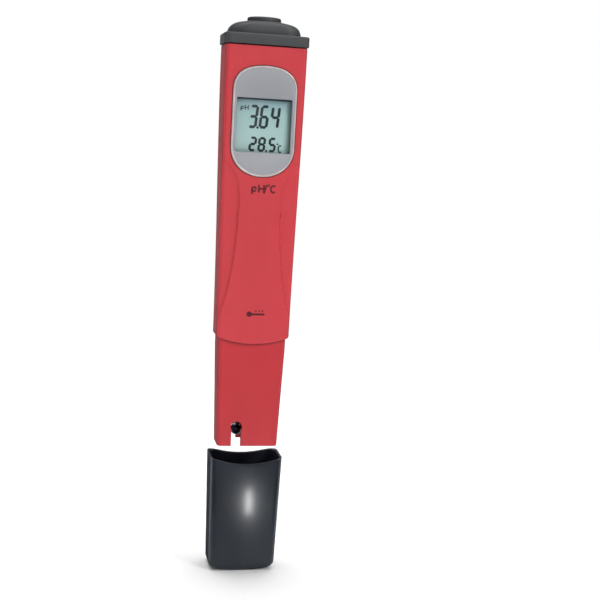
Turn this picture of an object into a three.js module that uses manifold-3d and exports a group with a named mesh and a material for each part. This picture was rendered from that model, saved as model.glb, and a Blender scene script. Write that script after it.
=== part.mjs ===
// A pocket pH tester: a flat tapered pen with a display, a push button on its battery cap,
// a slotted sleeve around its glass electrode, and a loose cap that stores the electrode wet.
// Millimetres, +Z up along the pen, the display faces -Y. The origin is the middle of the
// sensor cap's closed end, with the cap drawn off and waiting in line below the tip.

import * as THREE from 'three';
import { mergeVertices } from 'three/addons/utils/BufferGeometryUtils.js';
import Module from 'manifold-3d';

const wasm = await Module();
wasm.setup();

// ---- driving dimensions ------------------------------------------------------------------
// Heights named *_Z inside the pen are measured from its tip.

const TIP_Z = 57.5;
const PEN_LENGTH = 188;
const GAP = 0.3;

const CASE_TOP_Z = 175.5;
const CASE_WALL = 1.8;
const SKIRT_SIZE = { halfWidth: 16.15, front: 12, back: 8.7 };
const TOP_SIZE = { halfWidth: 17.65, front: 12, back: 12.3 };
const CASE_CROWN = 0.25;
const FRONT_EDGE_RADIUS = 1.9;
const BACK_EDGE_RADIUS = 8;
const TAPER_START_Z = 45;
const TAPER_END_Z = 180;
const SKIRT_LOW_Z = 46.75;
const SKIRT_ARC_RADIUS = 46.5;
const SHOULDER_Z = 58.4;
const PARTING_Y = 0;

const SCOOP_DEPTH = 0.6;
const SCOOP_INNER_X = 9.1;
const LABEL_LAND = { halfWidth: 11, low: 144, high: 172, height: 0.3 };

const BEZEL_HALF_WIDTH = 13.8;
const BEZEL_TOP_Z = 167.1;
const BEZEL_SHOULDER_Z = 160.8;
const BEZEL_LOW_Z = 120;
const BEZEL_RIM = 0.8;
const BEZEL_SUNK = 0.35;
const BEZEL_FRONT_Y = -12.7;
const BEZEL_BACK_Y = -11.4;
const VIEW_HALF_WIDTH = 12;
const VIEW_LOW_Z = 130.4;
const VIEW_TOP_Z = 153.4;
const WINDOW_LAP = 0.7;
const WINDOW_Y = [-11.1, -10.1];

const BOARD_FRONT_Y = -5.4;
const BOARD_BACK_Y = -3.8;
const BOARD_LOW_Z = 84;
const BOARD_WAIST_Z = 126.5;
const BOARD_TOP_Z = 166.5;
const BOARD_HALF_WIDTH = 12.6;
const BOARD_TAIL_HALF_WIDTH = 9;
const LCD_FRONT_Y = -9.9;
const LCD_BACK_Y = -7.3;
const LCD_HALF_WIDTH = 13.5;
const LCD_LAP = 2;
const ZEBRA_HEIGHT = 2;

const FLANGE_LOW_Z = 175.8;
const FLANGE_TOP_Z = 180.3;
const FLANGE_OVERHANG = 0.65;
const FLANGE_EDGE_RADIUS = 2.4;
const DOME_BASE = { halfWidth: 15.7, depth: 10.9, radius: 7.5 };
const DOME_CREST = { halfWidth: 8.5, depth: 8.3, radius: 7.4 };
const DOME_TOP_Z = 186;
const DOME_WALL = 1.5;
const PLUG_LOW_Z = 171.8;
const PLUG_WALL = 1.3;
const SEAL_GROOVE_Z = [173, 174.6];
const BUTTON_RADIUS = 7.45;
const BUTTON_FLANGE_RADIUS = 8.9;
const BUTTON_FLANGE_LOW_Z = 180.6;
const BUTTON_FLANGE_THICKNESS = 1.4;
const BUTTON_TOP_Z = PEN_LENGTH;
const SPRING_RADIUS = 3.6;
const SPRING_LOW_Z = 178;
const RETAINER_Z = [176.2, 177.4];
const PLUNGER_Y = -7.3;
const PLUNGER_RADIUS = 0.95;
const LEG_Y = PLUNGER_Y + GAP;
const LEG_RADIUS = 1.3;

const CELL_RADIUS = 5.8;
const CELL_HEIGHT = 5.4;
const CELL_X = 6.35;
const CELL_Y = 3.3;
const CELL_LOW_Z = 158.2;
const HOLDER_LOW_Z = 154.4;
const HOLDER_TOP_Z = 168.9;
const HOLDER_RADIUS = 6.55;
const BRIDGE_Z = [169.5, 169.9];

const GUARD_FOOT_SIZE = { halfWidth: 13.55, front: 9.9, back: 6.4 };
const GUARD_TOP_SIZE = { halfWidth: 14.95, front: 10.7, back: 7.2 };
const GUARD_TAPER_Z = 45;
const GUARD_TOP_Z = 58;
const GUARD_WALL = 1.6;
const GUARD_GROOVE_Z = [53, 54.6];
const SLOT_X = -5.2;
const SLOT_WIDTH = 4.3;
const SLOT_HOLE_Z = 8.8;
const SLOT_HOLE_RADIUS = 2.55;
const PROBE_Y = -1.8;
const PROBE_TOP_Z = 52;
const ELECTRODE_X = -4.1;
const BULB_Z = 6;
const BULB_RADIUS = 2.6;
const BULB_NECK_RADIUS = 1.8;
const STEM_LOW_Z = 8.4;
const STEM_RADIUS = 2.4;
const GLASS_WALL = 0.45;
const JUNCTION_X = 0.8;
const JUNCTION_RADIUS = 1.3;
const SENSOR_X = 5.4;
const SENSOR_LOW_Z = 5;
const SENSOR_RADIUS = 2;
const WIRE_RADIUS = 0.4;
const WIRE_TOP_Z = 57;
const BULKHEAD_Z = [15, 18.5];
const CHAMBER_PLUG_Z = [46, 50];

// Heights on the sensor cap are those it has when seated on the pen.
const CAP_FOOT_SIZE = { halfWidth: 15, front: 11.2, back: 7.7 };
const CAP_FOOT_THICKNESS = 1.45;
const CAP_SEATED_FOOT_Z = -3.4;
const CAP_WALL = 0.9;
const CAP_RIM_Z = SKIRT_LOW_Z - GAP;
const SPONGE_HEIGHT = 5.0;

const SCREWS = [
  { x: -12.6, z: 118, headY: 6 },
  { x: 12.6, z: 118, headY: 6 },
  { x: -11.6, z: 66, headY: 4.7 },
  { x: 11.6, z: 66, headY: 4.7 },
];
const SCREW_HEAD_RADIUS = 2;
const SCREW_HEAD_HEIGHT = 1.4;
const SCREW_RADIUS = 1;
const SCREW_END_Y = -6.5;
const BOSS_RADIUS = 2.3;
const POST_RADIUS = 3.1;

const TRIMMER_Z = 100;
const TRIMMER_ROTOR_RADIUS = 1.9;
const TRIMMER_HOLE_RADIUS = 2.3;

// ---- materials ---------------------------------------------------------------------------

const finish = (color, roughness, metalness = 0) =>
  new THREE.MeshStandardMaterial({ color, roughness, metalness });

const RED_PLASTIC = finish(0xd6505a, 0.5);
const GUARD_PLASTIC = finish(0xcc444c, 0.5);
const GREY_PLASTIC = finish(0x4e5054, 0.6);
const BLACK_GLOSS = finish(0x26292e, 0.2);
const SILVER_PANEL = finish(0xa9acb0, 0.4, 0.2);
const CLEAR_WINDOW = finish(0xdfe9e8, 0.1);
const LCD_GLASS = finish(0xb0cccb, 0.3);
const HOLDER_PLASTIC = finish(0xe6e4de, 0.6);
const DARK_RUBBER = finish(0x2b2b2d, 0.8);
const CIRCUIT_BOARD = finish(0x2f6b45, 0.6);
const CHIP_BLACK = finish(0x1f2022, 0.5);
const STEEL = finish(0xb9bcc0, 0.3, 1);
const NICKEL = finish(0xcfd0cc, 0.3, 1);
const BRASS = finish(0xc9a24e, 0.35, 1);
const GLASS = finish(0xcfdcdc, 0.05);
const SILVER_WIRE = finish(0x8d8a84, 0.5, 0.8);
const POROUS_WHITE = finish(0xe9e5da, 0.9);
const BLUE_PLASTIC = finish(0x2d5fa8, 0.5);
const YELLOW_SPONGE = finish(0xe3c96b, 0.95);
const LEAD_RED = finish(0xc23b34, 0.5);
const LEAD_BLACK = finish(0x2c2c2c, 0.5);
const LEAD_WHITE = finish(0xe4e4e0, 0.5);

// ---- solids ------------------------------------------------------------------------------

function solid(geometry) {
  const bare = geometry.clone();
  bare.deleteAttribute('normal');
  bare.deleteAttribute('uv');
  const merged = mergeVertices(bare, 1e-4);
  const vertProperties = new Float32Array(merged.attributes.position.array);
  const triVerts = new Uint32Array(merged.index.array);
  return new wasm.Manifold(new wasm.Mesh({ numProp: 3, vertProperties, triVerts }));
}

function geometryOf(body) {
  const { vertProperties, triVerts } = body.getMesh();
  const geometry = new THREE.BufferGeometry();
  geometry.setAttribute('position', new THREE.BufferAttribute(new Float32Array(vertProperties), 3));
  geometry.setIndex(new THREE.BufferAttribute(new Uint32Array(triVerts), 1));
  geometry.computeVertexNormals();
  return geometry;
}

const join = (first, ...others) => others.reduce((body, other) => body.add(other), first);
const cut = (first, ...others) => others.reduce((body, other) => body.subtract(other), first);

function block(x, y, z) {
  const geometry = new THREE.BoxGeometry(x[1] - x[0], y[1] - y[0], z[1] - z[0]);
  geometry.translate((x[0] + x[1]) / 2, (y[0] + y[1]) / 2, (z[0] + z[1]) / 2);
  return solid(geometry);
}

function rodZ(radius, x, y, z, segments = 16) {
  const geometry = new THREE.CylinderGeometry(radius, radius, z[1] - z[0], segments);
  geometry.rotateX(Math.PI / 2);
  geometry.translate(x, y, (z[0] + z[1]) / 2);
  return solid(geometry);
}

function rodY(radius, x, z, y, segments = 16) {
  const geometry = new THREE.CylinderGeometry(radius, radius, y[1] - y[0], segments);
  geometry.translate(x, (y[0] + y[1]) / 2, z);
  return solid(geometry);
}

// A turned piece: profile points are (radius, height) around a vertical line at x, y.
function turned(profile, x = 0, y = 0, segments = 20) {
  const points = profile.map(([radius, height]) => new THREE.Vector2(radius, height));
  const geometry = new THREE.LatheGeometry(points, segments);
  geometry.rotateX(Math.PI / 2);
  geometry.translate(x, y, 0);
  return solid(geometry);
}

// A flat outline in the XZ plane, given thickness along Y.
function prismXZ(shape, y, curveSegments = 10) {
  const options = { depth: y[1] - y[0], bevelEnabled: false, curveSegments };
  const geometry = new THREE.ExtrudeGeometry(shape, options);
  geometry.rotateX(Math.PI / 2);
  geometry.translate(0, y[1], 0);
  return solid(geometry);
}

// A round wire or lead along a curve.
function wire(curve, radius, steps, sides = 6) {
  const ring = new THREE.Shape();
  ring.absarc(0, 0, radius, 0, Math.PI * 2);
  const options = { steps, curveSegments: sides / 2, bevelEnabled: false, extrudePath: curve };
  return solid(new THREE.ExtrudeGeometry(ring, options));
}

class Helix extends THREE.Curve {
  constructor(radius, low, high, turns, x, y) {
    super();
    Object.assign(this, { radius, low, high, turns, x, y });
  }

  getPoint(t, target = new THREE.Vector3()) {
    const angle = t * this.turns * Math.PI * 2;
    const height = this.low + (this.high - this.low) * t;
    return target.set(
      this.x + this.radius * Math.cos(angle),
      this.y + this.radius * Math.sin(angle),
      height,
    );
  }
}

// ---- the case section --------------------------------------------------------------------
// Flat and slightly crowned in front with tight edges, rounded towards the back.

function sectionOutline({ halfWidth, front, back, frontRadius, backRadius, crown = 0 }, detail = 4) {
  const shape = new THREE.Shape();
  shape.moveTo(-halfWidth + frontRadius, -front);
  shape.quadraticCurveTo(0, -front - 2 * crown, halfWidth - frontRadius, -front);
  shape.quadraticCurveTo(halfWidth, -front, halfWidth, -front + frontRadius);
  shape.lineTo(halfWidth, back - backRadius);
  shape.absarc(halfWidth - backRadius, back - backRadius, backRadius, 0, Math.PI / 2);
  shape.lineTo(-halfWidth + backRadius, back);
  shape.absarc(-halfWidth + backRadius, back - backRadius, backRadius, Math.PI / 2, Math.PI);
  shape.lineTo(-halfWidth, -front + frontRadius);
  shape.quadraticCurveTo(-halfWidth, -front, -halfWidth + frontRadius, -front);
  const points = shape.getPoints(detail);
  return points.filter((point, i) => point.distanceTo(points.at(i - 1)) > 1e-4);
}

// Rings of equal point count, one above the other, joined into a closed body.
function loft(sections, heights, detail = 4) {
  const rings = sections.map((section) => sectionOutline(section, detail));
  const count = rings[0].length;
  const positions = rings.flatMap((ring, level) => ring.flatMap((p) => [p.x, p.y, heights[level]]));
  const index = [];
  for (let level = 0; level < rings.length - 1; level += 1) {
    for (let i = 0; i < count; i += 1) {
      const next = (i + 1) % count;
      const low = level * count;
      const high = low + count;
      index.push(low + i, low + next, high + next, low + i, high + next, high + i);
    }
  }
  const top = (rings.length - 1) * count;
  const lowMiddle = rings.length * count;
  const topMiddle = lowMiddle + 1;
  positions.push(0, 0, heights[0], 0, 0, heights[heights.length - 1]);
  for (let i = 0; i < count; i += 1) {
    const next = (i + 1) % count;
    index.push(lowMiddle, next, i);
    index.push(topMiddle, top + i, top + next);
  }
  const geometry = new THREE.BufferGeometry();
  geometry.setAttribute('position', new THREE.Float32BufferAttribute(positions, 3));
  geometry.setIndex(index);
  return solid(geometry);
}

// Between two sizes, t of the way, and inset all round.
function sizeBetween(low, high, t, inset) {
  return {
    halfWidth: THREE.MathUtils.lerp(low.halfWidth, high.halfWidth, t) - inset,
    front: THREE.MathUtils.lerp(low.front, high.front, t) - inset,
    back: THREE.MathUtils.lerp(low.back, high.back, t) - inset,
  };
}

function caseSection(z, inset = 0) {
  const taper = THREE.MathUtils.smoothstep(z, TAPER_START_Z, TAPER_END_Z);
  return {
    ...sizeBetween(SKIRT_SIZE, TOP_SIZE, taper, inset),
    frontRadius: Math.max(FRONT_EDGE_RADIUS - inset / 2, 0.5),
    backRadius: BACK_EDGE_RADIUS - inset,
    crown: CASE_CROWN,
  };
}

function caseLoft(low, high, inset, levels = 7) {
  const heights = Array.from({ length: levels }, (_, i) => low + ((high - low) * i) / (levels - 1));
  return loft(heights.map((z) => caseSection(z, inset)), heights);
}

// A straight-sided body with the case's section at one height.
function straightLoft(section, low, high, detail = 4) {
  return loft([section, section], [low, high], detail);
}

// Everything above the curved lower edge of the skirt, raised or lowered by shift.
function aboveSkirtArc(shift, top) {
  const edge = 20;
  const low = SKIRT_LOW_Z + shift;
  const sweep = Math.asin(edge / SKIRT_ARC_RADIUS);
  const shape = new THREE.Shape();
  shape.moveTo(edge, top);
  shape.lineTo(-edge, top);
  shape.absarc(0, low + SKIRT_ARC_RADIUS, SKIRT_ARC_RADIUS, -Math.PI / 2 - sweep, -Math.PI / 2 + sweep);
  return prismXZ(shape, [-20, 20], 12);
}

// ---- case halves -------------------------------------------------------------------------

function guardSection(z, inset = 0) {
  const rise = THREE.MathUtils.clamp(z / GUARD_TAPER_Z, 0, 1);
  return {
    ...sizeBetween(GUARD_FOOT_SIZE, GUARD_TOP_SIZE, rise, inset),
    frontRadius: Math.max(1.7 - inset / 2, 0.5),
    backRadius: 5.5 - inset,
    crown: 0.15,
  };
}

function guardLoft(low, high, inset) {
  const heights = [low, ...[GUARD_TAPER_Z].filter((z) => z > low && z < high), high];
  return loft(heights.map((z) => guardSection(z, inset)), heights);
}

function bezelOutline(grow = 0) {
  const half = BEZEL_HALF_WIDTH + grow;
  const shape = new THREE.Shape();
  const low = BEZEL_LOW_Z - grow;
  const lowShoulder = BEZEL_LOW_Z + 13;
  const top = BEZEL_TOP_Z + grow;
  shape.moveTo(half, lowShoulder);
  shape.lineTo(half, BEZEL_SHOULDER_Z - 4);
  shape.bezierCurveTo(half, BEZEL_SHOULDER_Z + 2.5, half - 4.5, top, 0, top);
  shape.bezierCurveTo(-half + 4.5, top, -half, BEZEL_SHOULDER_Z + 2.5, -half, BEZEL_SHOULDER_Z - 4);
  shape.lineTo(-half, lowShoulder);
  shape.bezierCurveTo(-half, low + 5, -half + 6, low, 0, low);
  shape.bezierCurveTo(half - 6, low, half, low + 5, half, lowShoulder);
  return shape;
}

function scoopOutline(side) {
  const shape = new THREE.Shape();
  const outside = 20 * side;
  const inner = SCOOP_INNER_X * side;
  shape.moveTo(outside, 127);
  shape.lineTo(17.4 * side, 126.4);
  shape.bezierCurveTo(12.8 * side, 125, inner, 120, inner, 110);
  shape.lineTo(inner, 104);
  shape.bezierCurveTo(9.3 * side, 94, 10.9 * side, 70, 16.2 * side, 58.5);
  shape.lineTo(outside, 56);
  return shape;
}

function hollowCase() {
  const outer = caseLoft(SKIRT_LOW_Z - 3, CASE_TOP_Z, 0).intersect(aboveSkirtArc(0, CASE_TOP_Z + 1));
  const cavity = caseLoft(SHOULDER_Z + 1.4, CASE_TOP_Z + 1, CASE_WALL);
  const socket = guardLoft(40, SHOULDER_Z, -GAP);
  const neck = straightLoft(guardSection(GUARD_TOP_Z, GUARD_WALL), 55, SHOULDER_Z + 4);
  return cut(outer, cavity, socket, neck);
}

function frontShell(hollow) {
  const edgeY = PARTING_Y - GAP / 2;
  const half = hollow.intersect(block([-25, 25], [-25, edgeY], [0, 200]));
  const boss = ({ x, z }) => rodY(BOSS_RADIUS, x, z, [-SKIRT_SIZE.front + 1, edgeY]);
  const pilot = ({ x, z }) => rodY(SCREW_RADIUS + GAP, x, z, [SCREW_END_Y - 1.5, PARTING_Y + 1], 10);
  const bezelSeat = prismXZ(bezelOutline(GAP), [-20, BEZEL_BACK_Y + GAP]);
  const opening = block(
    [-VIEW_HALF_WIDTH - 1, VIEW_HALF_WIDTH + 1],
    [-20, -8],
    [VIEW_LOW_Z - 1, VIEW_TOP_Z + 1],
  );
  const scoopFloor = -SKIRT_SIZE.front + SCOOP_DEPTH;
  const scoops = [-1, 1].map((side) => prismXZ(scoopOutline(side), [-20, scoopFloor]));
  return cut(join(half, ...SCREWS.map(boss)), ...SCREWS.map(pilot), bezelSeat, opening, ...scoops);
}

function rearShell(hollow) {
  const edgeY = PARTING_Y + GAP / 2;
  const half = hollow.intersect(block([-25, 25], [edgeY, 25], [0, 200]));
  const inside = caseLoft(50, CASE_TOP_Z, 0.4);
  const post = ({ x, z }) => rodY(POST_RADIUS, x, z, [edgeY, TOP_SIZE.back]);
  const posts = join(...SCREWS.map(post)).intersect(inside);
  const shank = ({ x, z }) => rodY(SCREW_RADIUS + 0.4, x, z, [-2, 14], 10);
  const counterbore = ({ x, z, headY }) => rodY(SCREW_HEAD_RADIUS + 0.4, x, z, [headY - GAP, 14]);
  const { halfWidth, low, high, height } = LABEL_LAND;
  const labelLand = block([-halfWidth, halfWidth], [10.6, TOP_SIZE.back + height], [low, high]);
  const trimmerHole = rodY(TRIMMER_HOLE_RADIUS, 0, TRIMMER_Z, [2, 14]);
  return cut(
    join(half, posts, labelLand),
    ...SCREWS.map(shank),
    ...SCREWS.map(counterbore),
    trimmerHole,
  );
}

function shellScrew({ x, z, headY }) {
  const head = rodY(SCREW_HEAD_RADIUS, x, z, [headY, headY + SCREW_HEAD_HEIGHT]);
  const shank = rodY(SCREW_RADIUS, x, z, [SCREW_END_Y, headY + 0.2], 10);
  const slotHalf = 0.3;
  const slotReach = 1.4;
  const slotDepth = [headY + SCREW_HEAD_HEIGHT - 0.6, 14];
  return cut(
    join(head, shank),
    block([x - slotHalf, x + slotHalf], slotDepth, [z - slotReach, z + slotReach]),
    block([x - slotReach, x + slotReach], slotDepth, [z - slotHalf, z + slotHalf]),
  );
}

// ---- display stack and board -------------------------------------------------------------

function displayBezel() {
  const plate = prismXZ(bezelOutline(0), [BEZEL_FRONT_Y, BEZEL_BACK_Y]);
  const lowered = prismXZ(bezelOutline(-BEZEL_RIM), [-20, BEZEL_FRONT_Y + BEZEL_SUNK]);
  const opening = block([-VIEW_HALF_WIDTH, VIEW_HALF_WIDTH], [-20, 0], [VIEW_LOW_Z, VIEW_TOP_Z]);
  return cut(plate, lowered, opening);
}

function displayWindow() {
  const half = VIEW_HALF_WIDTH + WINDOW_LAP;
  return block([-half, half], WINDOW_Y, [VIEW_LOW_Z - WINDOW_LAP, VIEW_TOP_Z + WINDOW_LAP]);
}

function lcdModule() {
  const half = LCD_HALF_WIDTH;
  return block([-half, half], [LCD_FRONT_Y, LCD_BACK_Y], [VIEW_LOW_Z - LCD_LAP, VIEW_TOP_Z + LCD_LAP]);
}

function lcdHolder() {
  const frame = block([-15, 15], [LCD_FRONT_Y, BOARD_FRONT_Y - GAP], [126.5, 157.4]);
  const lap = LCD_LAP + GAP;
  const half = LCD_HALF_WIDTH + GAP;
  const pocket = block([-half, half], [-12, LCD_BACK_Y + 0.4], [VIEW_LOW_Z - lap, VIEW_TOP_Z + lap]);
  const ports = block([-12.6, 12.6], [-12, 0], [VIEW_LOW_Z - 1.2, VIEW_TOP_Z + 1.2]);
  return cut(frame, pocket, ports);
}

function zebraStrip(low) {
  const depth = [LCD_BACK_Y + GAP, BOARD_FRONT_Y - GAP];
  return block([-VIEW_HALF_WIDTH, VIEW_HALF_WIDTH], depth, [low, low + ZEBRA_HEIGHT]);
}

function circuitBoard() {
  const depth = [BOARD_FRONT_Y, BOARD_BACK_Y];
  const wide = block([-BOARD_HALF_WIDTH, BOARD_HALF_WIDTH], depth, [BOARD_WAIST_Z, BOARD_TOP_Z]);
  const half = BOARD_TAIL_HALF_WIDTH;
  return join(wide, block([-half, half], depth, [BOARD_LOW_Z, BOARD_WAIST_Z + 1]));
}

// A chip with legs along its two long sides.
function chip(x, z, halfWidth, halfHeight, pins) {
  const low = BOARD_BACK_Y + GAP;
  const depth = [low + 0.2, low + 1.7];
  const body = block([x - halfWidth, x + halfWidth], depth, [z - halfHeight, z + halfHeight]);
  const pitch = (2 * halfHeight) / pins;
  const reach = halfWidth + 1;
  const legs = Array.from({ length: pins }, (_, i) => {
    const middle = z - halfHeight + pitch * (i + 0.5);
    return block([x - reach, x + reach], [low, low + 0.5], [middle - pitch / 5, middle + pitch / 5]);
  });
  return join(body, ...legs);
}

function timingCrystal() {
  const radius = 1;
  return rodZ(radius, 5.5, BOARD_BACK_Y + GAP + radius, [120, 126], 12);
}

function trimmerBody() {
  const low = BOARD_BACK_Y + GAP;
  const half = 3.4;
  const housing = block([-half, half], [low, low + 4], [TRIMMER_Z - half, TRIMMER_Z + half]);
  return cut(housing, rodY(TRIMMER_ROTOR_RADIUS + GAP, 0, TRIMMER_Z, [low + 1.4, low + 6]));
}

function trimmerRotor() {
  const low = BOARD_BACK_Y + GAP + 1.7;
  const high = low + 2.8;
  const disc = rodY(TRIMMER_ROTOR_RADIUS, 0, TRIMMER_Z, [low, high]);
  const slotHalf = 0.4;
  const slot = block([-slotHalf, slotHalf], [high - 0.9, high + 1], [TRIMMER_Z - 3, TRIMMER_Z + 3]);
  return cut(disc, slot);
}

// ---- switch and power button -------------------------------------------------------------

function switchBody() {
  const housing = block([-3.2, 3.2], [-9.6, BOARD_FRONT_Y - GAP], [158.6, 164.6]);
  return cut(housing, rodZ(PLUNGER_RADIUS + GAP, 0, PLUNGER_Y, [160.6, 170]));
}

function switchPlunger() {
  return rodZ(PLUNGER_RADIUS, 0, PLUNGER_Y, [162.6, 176.6]);
}

function powerButton() {
  const shoulder = BUTTON_FLANGE_LOW_Z + BUTTON_FLANGE_THICKNESS;
  const edge = 0.7;
  const draft = 0.15;
  const wall = 1.6;
  const body = turned([
    [0, BUTTON_FLANGE_LOW_Z],
    [BUTTON_FLANGE_RADIUS, BUTTON_FLANGE_LOW_Z],
    [BUTTON_FLANGE_RADIUS, shoulder],
    [BUTTON_RADIUS + draft, shoulder],
    [BUTTON_RADIUS - draft, BUTTON_TOP_Z - edge],
    [BUTTON_RADIUS - draft - edge * 0.3, BUTTON_TOP_Z - edge * 0.3],
    [BUTTON_RADIUS - draft - edge, BUTTON_TOP_Z],
    [0, BUTTON_TOP_Z],
  ], 0, 0, 28);
  const hollow = rodZ(BUTTON_RADIUS - draft - wall, 0, 0, [170, BUTTON_TOP_Z - wall], 20);
  const leg = rodZ(LEG_RADIUS, 0, LEG_Y, [176.9, BUTTON_FLANGE_LOW_Z + 0.5], 12);
  const springPost = rodZ(2.2, 0, 0, [BUTTON_FLANGE_LOW_Z, BUTTON_TOP_Z - 1.2], 12);
  return join(cut(body, hollow), leg, springPost);
}

function returnSpring() {
  const high = BUTTON_TOP_Z - 2;
  return wire(new Helix(SPRING_RADIUS, SPRING_LOW_Z, high, 4, 0, 0), 0.3, 64);
}

function buttonRetainer() {
  const [low, high] = RETAINER_Z;
  const plate = block([-11.6, 11.6], [-8.3, 7.9], RETAINER_Z);
  const legHole = rodZ(LEG_RADIUS + 0.4, 0, LEG_Y, [170, 180]);
  const bridgePosts = [-1, 1].map((side) => {
    return rodZ(1.2, 10.4 * side, CELL_Y, [BRIDGE_Z[1] + GAP, low + GAP], 12);
  });
  const springCup = cut(
    rodZ(2.8, 0, 0, [high - 0.4, high + 1.4]),
    rodZ(2.3, 0, 0, [high, high + 5]),
  );
  return cut(join(plate, ...bridgePosts, springCup), legHole);
}

// ---- battery cap -------------------------------------------------------------------------

// The dome's plan shrinks slowly up its steep sides, then quickly across its gentle crest:
// x is the share of the base size that is left, y the share of the height.
const domeProfile = new THREE.CubicBezierCurve(
  new THREE.Vector2(1, 0),
  new THREE.Vector2(1, 0.78),
  new THREE.Vector2(0.66, 0.87),
  new THREE.Vector2(0, 1),
);

function domeSection(share, inset) {
  const halfWidth = THREE.MathUtils.lerp(DOME_CREST.halfWidth, DOME_BASE.halfWidth, share) - inset;
  const depth = THREE.MathUtils.lerp(DOME_CREST.depth, DOME_BASE.depth, share) - inset;
  const radius = THREE.MathUtils.lerp(DOME_CREST.radius, DOME_BASE.radius, share) - inset;
  return { halfWidth, front: depth, back: depth, frontRadius: radius, backRadius: radius };
}

function domeLoft(inset, drop) {
  const sunk = 0.6;
  const rise = DOME_TOP_Z - FLANGE_TOP_Z + sunk;
  const levels = domeProfile.getPoints(6);
  const heights = levels.map(({ y }) => FLANGE_TOP_Z - sunk + rise * y - drop);
  return loft(levels.map(({ x }) => domeSection(x, inset)), heights);
}

function flangeSection(grow) {
  return { ...caseSection(CASE_TOP_Z, -grow), frontRadius: FLANGE_EDGE_RADIUS };
}

function batteryCap() {
  const soft = 0.7;
  const flange = loft(
    [
      flangeSection(FLANGE_OVERHANG),
      flangeSection(FLANGE_OVERHANG),
      flangeSection(FLANGE_OVERHANG - 0.25),
      flangeSection(FLANGE_OVERHANG - soft),
    ],
    [FLANGE_LOW_Z, FLANGE_TOP_Z - soft, FLANGE_TOP_Z - 0.25, FLANGE_TOP_Z],
  );
  const plugInset = CASE_WALL + GAP;
  const plug = straightLoft(caseSection(PLUG_LOW_Z, plugInset), PLUG_LOW_Z, FLANGE_LOW_Z + 1.2);
  const core = straightLoft(caseSection(PLUG_LOW_Z, plugInset + PLUG_WALL), PLUG_LOW_Z - 2, 178.9);
  const groove = cut(
    block([-30, 30], [-30, 30], SEAL_GROOVE_Z),
    straightLoft(caseSection(PLUG_LOW_Z, plugInset + PLUG_WALL / 2), 172, 176),
  );
  const buttonHole = rodZ(BUTTON_RADIUS + 0.5, 0, 0, [170, 190], 28);
  const flangeRoom = rodZ(BUTTON_FLANGE_RADIUS + 0.4, 0, 0, [177, 182.4], 28);
  const hollow = domeLoft(DOME_WALL, DOME_WALL);
  return cut(join(flange, plug, domeLoft(0, 0)), core, groove, hollow, flangeRoom, buttonHole);
}

function batteryCapSeal() {
  const ring = (inset, low, high) => straightLoft(caseSection(PLUG_LOW_Z, inset), low, high, 3);
  const [low, high] = [SEAL_GROOVE_Z[0] + 0.2, SEAL_GROOVE_Z[1] - 0.2];
  return cut(ring(CASE_WALL + 0.15, low, high), ring(CASE_WALL + 0.8, low - 1, high + 1));
}

function cellBridgePlate() {
  const plate = block([-12, 12], [CELL_Y - 4, CELL_Y + 4], BRIDGE_Z);
  return cut(plate, rodZ(0.7, 0, CELL_Y, [BRIDGE_Z[0] - 1, BRIDGE_Z[1] + 1], 10));
}

// ---- cells -------------------------------------------------------------------------------

function batteryHolder() {
  const well = (side) => rodZ(HOLDER_RADIUS, CELL_X * side, CELL_Y, [HOLDER_LOW_Z, HOLDER_TOP_Z], 28);
  const web = block([-CELL_X, CELL_X], [-3.2, 8.9], [HOLDER_LOW_Z, HOLDER_TOP_Z]);
  const bore = (side) =>
    rodZ(CELL_RADIUS + GAP, CELL_X * side, CELL_Y, [HOLDER_LOW_Z + 1, HOLDER_TOP_Z + 2], 28);
  return cut(join(web, well(-1), well(1)), bore(-1), bore(1));
}

function buttonCell(low) {
  const rim = 0.4;
  const capRadius = CELL_RADIUS - 1.1;
  return turned([
    [0, low],
    [CELL_RADIUS - rim, low],
    [CELL_RADIUS, low + rim],
    [CELL_RADIUS, low + CELL_HEIGHT - 1],
    [CELL_RADIUS - rim, low + CELL_HEIGHT - 0.6],
    [capRadius, low + CELL_HEIGHT - 0.6],
    [capRadius - rim, low + CELL_HEIGHT],
    [0, low + CELL_HEIGHT],
  ]);
}

function cellSpring(side) {
  const low = HOLDER_LOW_Z + 1.5;
  return wire(new Helix(3.4, low, CELL_LOW_Z - 0.5, 2.5, CELL_X * side, CELL_Y), 0.25, 32);
}

// ---- probe -------------------------------------------------------------------------------

function probeGuard() {
  const outer = guardLoft(0, GUARD_TOP_Z, 0);
  const inner = guardLoft(-1, GUARD_TOP_Z + 1, GUARD_WALL);
  const slot = block([SLOT_X - SLOT_WIDTH / 2, SLOT_X + SLOT_WIDTH / 2], [-20, 20], [-1, SLOT_HOLE_Z]);
  const hole = rodY(SLOT_HOLE_RADIUS, SLOT_X, SLOT_HOLE_Z, [-20, 20], 20);
  const groove = cut(
    block([-30, 30], [-30, 30], GUARD_GROOVE_Z),
    straightLoft(guardSection(GUARD_TOP_Z, GUARD_WALL / 2), 52, 56),
  );
  return cut(outer, inner, slot, hole, groove);
}

function guardSeal() {
  const ring = (inset, low, high) => straightLoft(guardSection(GUARD_TOP_Z, inset), low, high, 3);
  const [low, high] = [GUARD_GROOVE_Z[0] + 0.2, GUARD_GROOVE_Z[1] - 0.2];
  return cut(ring(-0.05, low, high), ring(0.6, low - 1, high + 1));
}

// Closes the sleeve around the three probes, with a clear hole for each.
function probeDisc([low, high], holes) {
  const disc = loft(
    [guardSection(low, GUARD_WALL + GAP), guardSection(high, GUARD_WALL + GAP)],
    [low, high],
  );
  return cut(disc, ...holes.map(([x, radius]) => rodZ(radius, x, PROBE_Y, [low - 1, high + 1])));
}

const STEM_HOLE = [ELECTRODE_X, STEM_RADIUS + GAP];
const SENSOR_HOLE = [SENSOR_X, SENSOR_RADIUS + GAP];

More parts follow.
